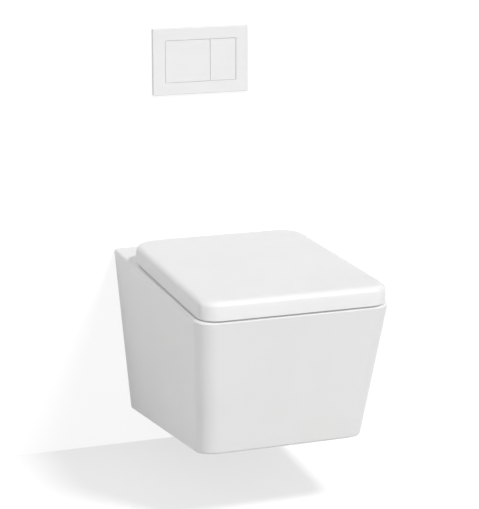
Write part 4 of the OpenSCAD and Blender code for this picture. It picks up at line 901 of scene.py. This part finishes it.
@dataclass
class SteelFrame:
    """Welds of the frame that stands behind the wall."""

    bead_r: float = 3.0 * MM
    sunk: float = 2.0 * MM
    smooth_angle: float = 80.0

    def build(self, wardrobe: Wardrobe) -> None:
        """Builds and places the frame's welds."""
        welds = bmesh.new()
        for bar in ("top_crossbar", "lower_crossbar"):
            low, high = (Vector(corner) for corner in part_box(bar))
            for x in (low.x, high.x):
                for y in (low.y + self.sunk, high.y - self.sunk):
                    add_weld(welds, (x, y, low.z), (x, y, high.z - self.bead_r), self.bead_r)
                inner = x - math.copysign(self.sunk / 2, x)
                add_weld(welds, (inner, low.y + self.bead_r, low.z), (inner, high.y - self.bead_r, low.z),
                         self.bead_r)
        low, high = (Vector(corner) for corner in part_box("pan_mounting_plate"))
        for x in (low.x, high.x):
            for y in (low.y, high.y - self.sunk):
                add_weld(welds, (x, y, low.z + self.bead_r), (x, y, high.z - self.bead_r), self.bead_r)
        wardrobe.place(new_object("frame_welds", welds, self.smooth_angle),
                       wardrobe.body_of["top_crossbar"], Slot.PAINT)


@dataclass
class Cistern:
    """Moulded ribs and parting line of the blown tank."""

    ear_w: float = 9.7 * MM
    rib_w: float = 12 * MM
    rib_rise: float = 2.5 * MM
    rib_pitch: float = 48 * MM
    rib_count: int = 7
    rib_margin: float = 34 * MM
    line_w: float = 2.4 * MM
    line_rise: float = 1.4 * MM
    line_back: float = 48 * MM
    sunk: float = 1.5 * MM
    edge_r: float = 0.9 * MM
    smooth_angle: float = 40.0

    def build(self, wardrobe: Wardrobe) -> None:
        """Builds and places the tank's mouldings."""
        low, high = (Vector(corner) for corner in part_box("cistern_tank"))
        half_w = high.x - self.ear_w
        ribs = bmesh.new()
        for i in range(self.rib_count):
            x = (i - (self.rib_count - 1) / 2) * self.rib_pitch
            add_block(ribs, (x - self.rib_w / 2, high.y - self.sunk, low.z + self.rib_margin),
                      (x + self.rib_w / 2, high.y + self.rib_rise, high.z - self.rib_margin), self.edge_r)
        near, far = high.y - self.line_back - self.line_w, high.y - self.line_back
        for side in (-1.0, 1.0):
            inner, outer = sorted((side * (half_w - self.sunk), side * (half_w + self.line_rise)))
            add_block(ribs, (inner, near, low.z + self.rib_w), (outer, far, high.z), self.edge_r / 2)
        add_block(ribs, (-half_w, near, high.z - self.sunk), (half_w, far, high.z + self.line_rise),
                  self.edge_r / 2)
        wardrobe.place(new_object("tank_mouldings", ribs, self.smooth_angle),
                       wardrobe.body_of["cistern_tank"], Slot.TANK)


# ---------------------------------------------------------------- stage

@dataclass(frozen=True)
class Backdrop:
    """Pale floor or wall that looks white to the camera and keeps the object's shadows.

    Attributes:
        glow: What the camera sees where no light falls.
        share: How much of the light that falls the camera sees besides.
        albedo: How much of the light it throws back on the object.
    """

    glow: float
    share: float
    albedo: float

    def build(self, name: str, see_through_back: bool) -> bpy.types.Material:
        """Builds the backdrop's material.

        Args:
            name: The material's name.
            see_through_back: Whether the back of the surface is clear.

        Returns:
            The material.
        """
        s = Shader(name)
        seen = s.add("ShaderNodeLightPath")
        pick = s.combine(s.combine(seen.outputs["Is Camera Ray"], seen.outputs["Is Glossy Ray"], "MAXIMUM"),
                         seen.outputs["Is Transmission Ray"], "MAXIMUM")
        plain = s.add("ShaderNodeBsdfDiffuse")
        s.link((self.albedo,) * 3, plain.inputs["Color"])
        shaded = s.add("ShaderNodeBsdfDiffuse")
        s.link((self.share,) * 3, shaded.inputs["Color"])
        glow = s.add("ShaderNodeEmission")
        s.link((1.0, 1.0, 1.0), glow.inputs["Color"])
        glow.inputs["Strength"].default_value = self.glow
        both = s.add("ShaderNodeAddShader")
        s.link(shaded.outputs[0], both.inputs[0])
        s.link(glow.outputs[0], both.inputs[1])
        mix = s.add("ShaderNodeMixShader")
        s.link(pick, mix.inputs["Fac"])
        s.link(plain.outputs[0], mix.inputs[1])
        s.link(both.outputs[0], mix.inputs[2])
        result = mix
        if see_through_back:
            side = s.add("ShaderNodeNewGeometry")
            clear = s.add("ShaderNodeBsdfTransparent")
            result = s.add("ShaderNodeMixShader")
            s.link(side.outputs["Backfacing"], result.inputs["Fac"])
            s.link(mix.outputs[0], result.inputs[1])
            s.link(clear.outputs[0], result.inputs[2])
        out = s.add("ShaderNodeOutputMaterial")
        s.link(result.outputs[0], out.inputs["Surface"])
        return s.material


@dataclass(frozen=True)
class DistantLamp:
    """A lamp far away, whose light falls evenly, with softer shadows the more degrees it spreads."""

    name: str
    towards: Triple
    level: float
    spread: float

    def build(self) -> bpy.types.Object:
        """Adds the lamp, whose level is what white reflects when it faces the lamp.

        Returns:
            The lamp.
        """
        data = bpy.data.lights.new(self.name, "SUN")
        data.energy = self.level * math.pi
        data.angle = math.radians(self.spread)
        lamp = bpy.data.objects.new(self.name, data)
        lamp.rotation_euler = Vector(self.towards).to_track_quat("Z", "Y").to_euler()
        bpy.context.scene.collection.objects.link(lamp)
        return lamp


@dataclass(frozen=True)
class RoomLamp:
    """A round lamp in the room, whose light spreads from it but doesn't weaken on the way."""

    name: str
    at: Triple
    level: float
    radius: float

    def build(self) -> bpy.types.Object:
        """Adds the lamp, whose level is what white reflects when it faces the lamp.

        Returns:
            The lamp.
        """
        data = bpy.data.lights.new(self.name, "POINT")
        data.energy = self.level * (2 * math.pi) ** 2
        data.shadow_soft_size = self.radius
        data.use_nodes = True
        nodes, links = data.node_tree.nodes, data.node_tree.links
        falloff = nodes.new("ShaderNodeLightFalloff")
        falloff.inputs["Strength"].default_value = 1.0
        links.new(falloff.outputs["Constant"], nodes["Emission"].inputs["Strength"])
        lamp = bpy.data.objects.new(self.name, data)
        lamp.location = self.at
        bpy.context.scene.collection.objects.link(lamp)
        return lamp


@dataclass
class Studio:
    """Floor, wall, lamps, world and camera."""

    floor_half: float = 3.0
    wall_half: float = 6.0
    wall_h: float = 5.0
    behind: float = 2.5
    horizon_strength: float = 0.65
    zenith_strength: float = 0.34
    floor_finish: Backdrop = Backdrop(glow=0.705, share=0.23, albedo=0.28)
    wall_finish: Backdrop = Backdrop(glow=0.89, share=0.095, albedo=0.3)
    key: DistantLamp = DistantLamp("key", (0.28, -0.66, 0.70), 0.55, 4.0)
    fill: DistantLamp = DistantLamp("fill", (-0.65, -0.60, 0.50), 0.14, 60.0)
    backdrop_key: RoomLamp = RoomLamp("backdrop_key", (0.58, -1.87, 2.22), 1.51, 0.27)
    lens: float = 126.46
    sensor_w: float = 36.0
    view_reach: float = 60.0
    camera_at: Triple = (-1.1108, -3.4391, 1.3382)
    yaw: float = 19.18
    pitch: float = 14.61

    def build(self) -> None:
        """Builds the stage, the lamps and the camera; the key lights all but floor and wall."""
        backdrop = bpy.data.collections.new("backdrop")
        all_but_backdrop = bpy.data.collections.new("all_but_backdrop")
        for plane in (self.floor(), self.wall()):
            backdrop.objects.link(plane)
            all_but_backdrop.objects.link(plane)
        for member in all_but_backdrop.collection_objects:
            member.light_linking.link_state = "EXCLUDE"
        self.key.build().light_linking.receiver_collection = all_but_backdrop
        self.fill.build()
        self.backdrop_key.build().light_linking.receiver_collection = backdrop
        self.world()
        self.camera()

    def plane(self, name: str, size: tuple[float, float], place: Matrix,
              material: bpy.types.Material) -> bpy.types.Object:
        """Adds one stage plane.

        Args:
            name: The plane's name.
            size: Its two sides.
            place: Where it goes.
            material: Its material.

        Returns:
            The plane.
        """
        shape = bmesh.new()
        bmesh.ops.create_grid(shape, x_segments=1, y_segments=1, size=0.5)
        bmesh.ops.scale(shape, vec=(*size, 1.0), verts=shape.verts)
        bmesh.ops.transform(shape, matrix=place, verts=shape.verts)
        obj = new_object(name, shape)
        obj.data.materials.append(material)
        return obj

    def floor(self) -> bpy.types.Object:
        """Adds the floor and returns it."""
        depth = self.floor_half + self.behind
        place = Matrix.Translation((0.0, self.behind - depth / 2, 0.0))
        finish = self.floor_finish.build("stage_floor", False)
        return self.plane("stage_floor", (2 * self.floor_half, depth), place, finish)

    def wall(self) -> bpy.types.Object:
        """Adds the wall, which faces the room and is clear from behind, and returns it."""
        place = Matrix.Translation((0.0, 0.0, self.wall_h / 2)) @ Matrix.Rotation(math.pi / 2, 4, "X")
        finish = self.wall_finish.build("stage_wall", True)
        return self.plane("stage_wall", (2 * self.wall_half, self.wall_h), place, finish)

    def world(self) -> None:
        """Lights the scene softly, most from the horizon, and shows white in view and reflections."""
        world = bpy.data.worlds.new("studio")
        bpy.context.scene.world = world
        world.use_nodes = True
        tree = world.node_tree
        tree.nodes.clear()
        add, link = tree.nodes.new, tree.links.new
        paths, first, second = add("ShaderNodeLightPath"), add("ShaderNodeMath"), add("ShaderNodeMath")
        first.operation = second.operation = "MAXIMUM"
        direction, height = add("ShaderNodeTexCoord"), add("ShaderNodeSeparateXYZ")
        ambient, strength = add("ShaderNodeMapRange"), add("ShaderNodeMix")
        ambient.inputs["To Min"].default_value = self.horizon_strength
        ambient.inputs["To Max"].default_value = self.zenith_strength
        strength.inputs["B"].default_value = 1.0
        background, out = add("ShaderNodeBackground"), add("ShaderNodeOutputWorld")
        background.inputs["Color"].default_value = (1.0, 1.0, 1.0, 1.0)
        link(paths.outputs["Is Camera Ray"], first.inputs[0])
        link(paths.outputs["Is Glossy Ray"], first.inputs[1])
        link(first.outputs[0], second.inputs[0])
        link(paths.outputs["Is Transmission Ray"], second.inputs[1])
        link(direction.outputs["Generated"], height.inputs[0])
        link(height.outputs["Z"], ambient.inputs["Value"])
        link(second.outputs[0], strength.inputs["Factor"])
        link(ambient.outputs["Result"], strength.inputs["A"])
        link(strength.outputs["Result"], background.inputs["Strength"])
        link(background.outputs[0], out.inputs["Surface"])

    def camera(self) -> None:
        """Adds the camera at the photograph's viewing angle."""
        data = bpy.data.cameras.new("camera")
        data.lens = self.lens
        data.sensor_width = self.sensor_w
        data.clip_end = self.view_reach
        yaw, pitch = math.radians(self.yaw), math.radians(self.pitch)
        ahead = Vector((math.sin(yaw) * math.cos(pitch), math.cos(yaw) * math.cos(pitch), -math.sin(pitch)))
        camera = bpy.data.objects.new("camera", data)
        camera.location = self.camera_at
        camera.rotation_euler = ahead.to_track_quat("-Z", "Y").to_euler()
        bpy.context.scene.collection.objects.link(camera)
        bpy.context.scene.camera = camera


def main() -> None:
    """Builds the studio, dresses the solids and adds the new pieces."""
    logging.basicConfig(level=logging.INFO, format="%(name)s: %(message)s")
    bpy.context.scene.view_settings.view_transform = "Standard"
    Studio().build()
    wardrobe = Wardrobe()
    wardrobe.dress_nodes()
    for assembly in (Pan(), SeatAndLid(), FlushPlate(), Fixings(), SteelFrame(), Cistern()):
        assembly.build(wardrobe)


if __name__ == "__main__":
    main()
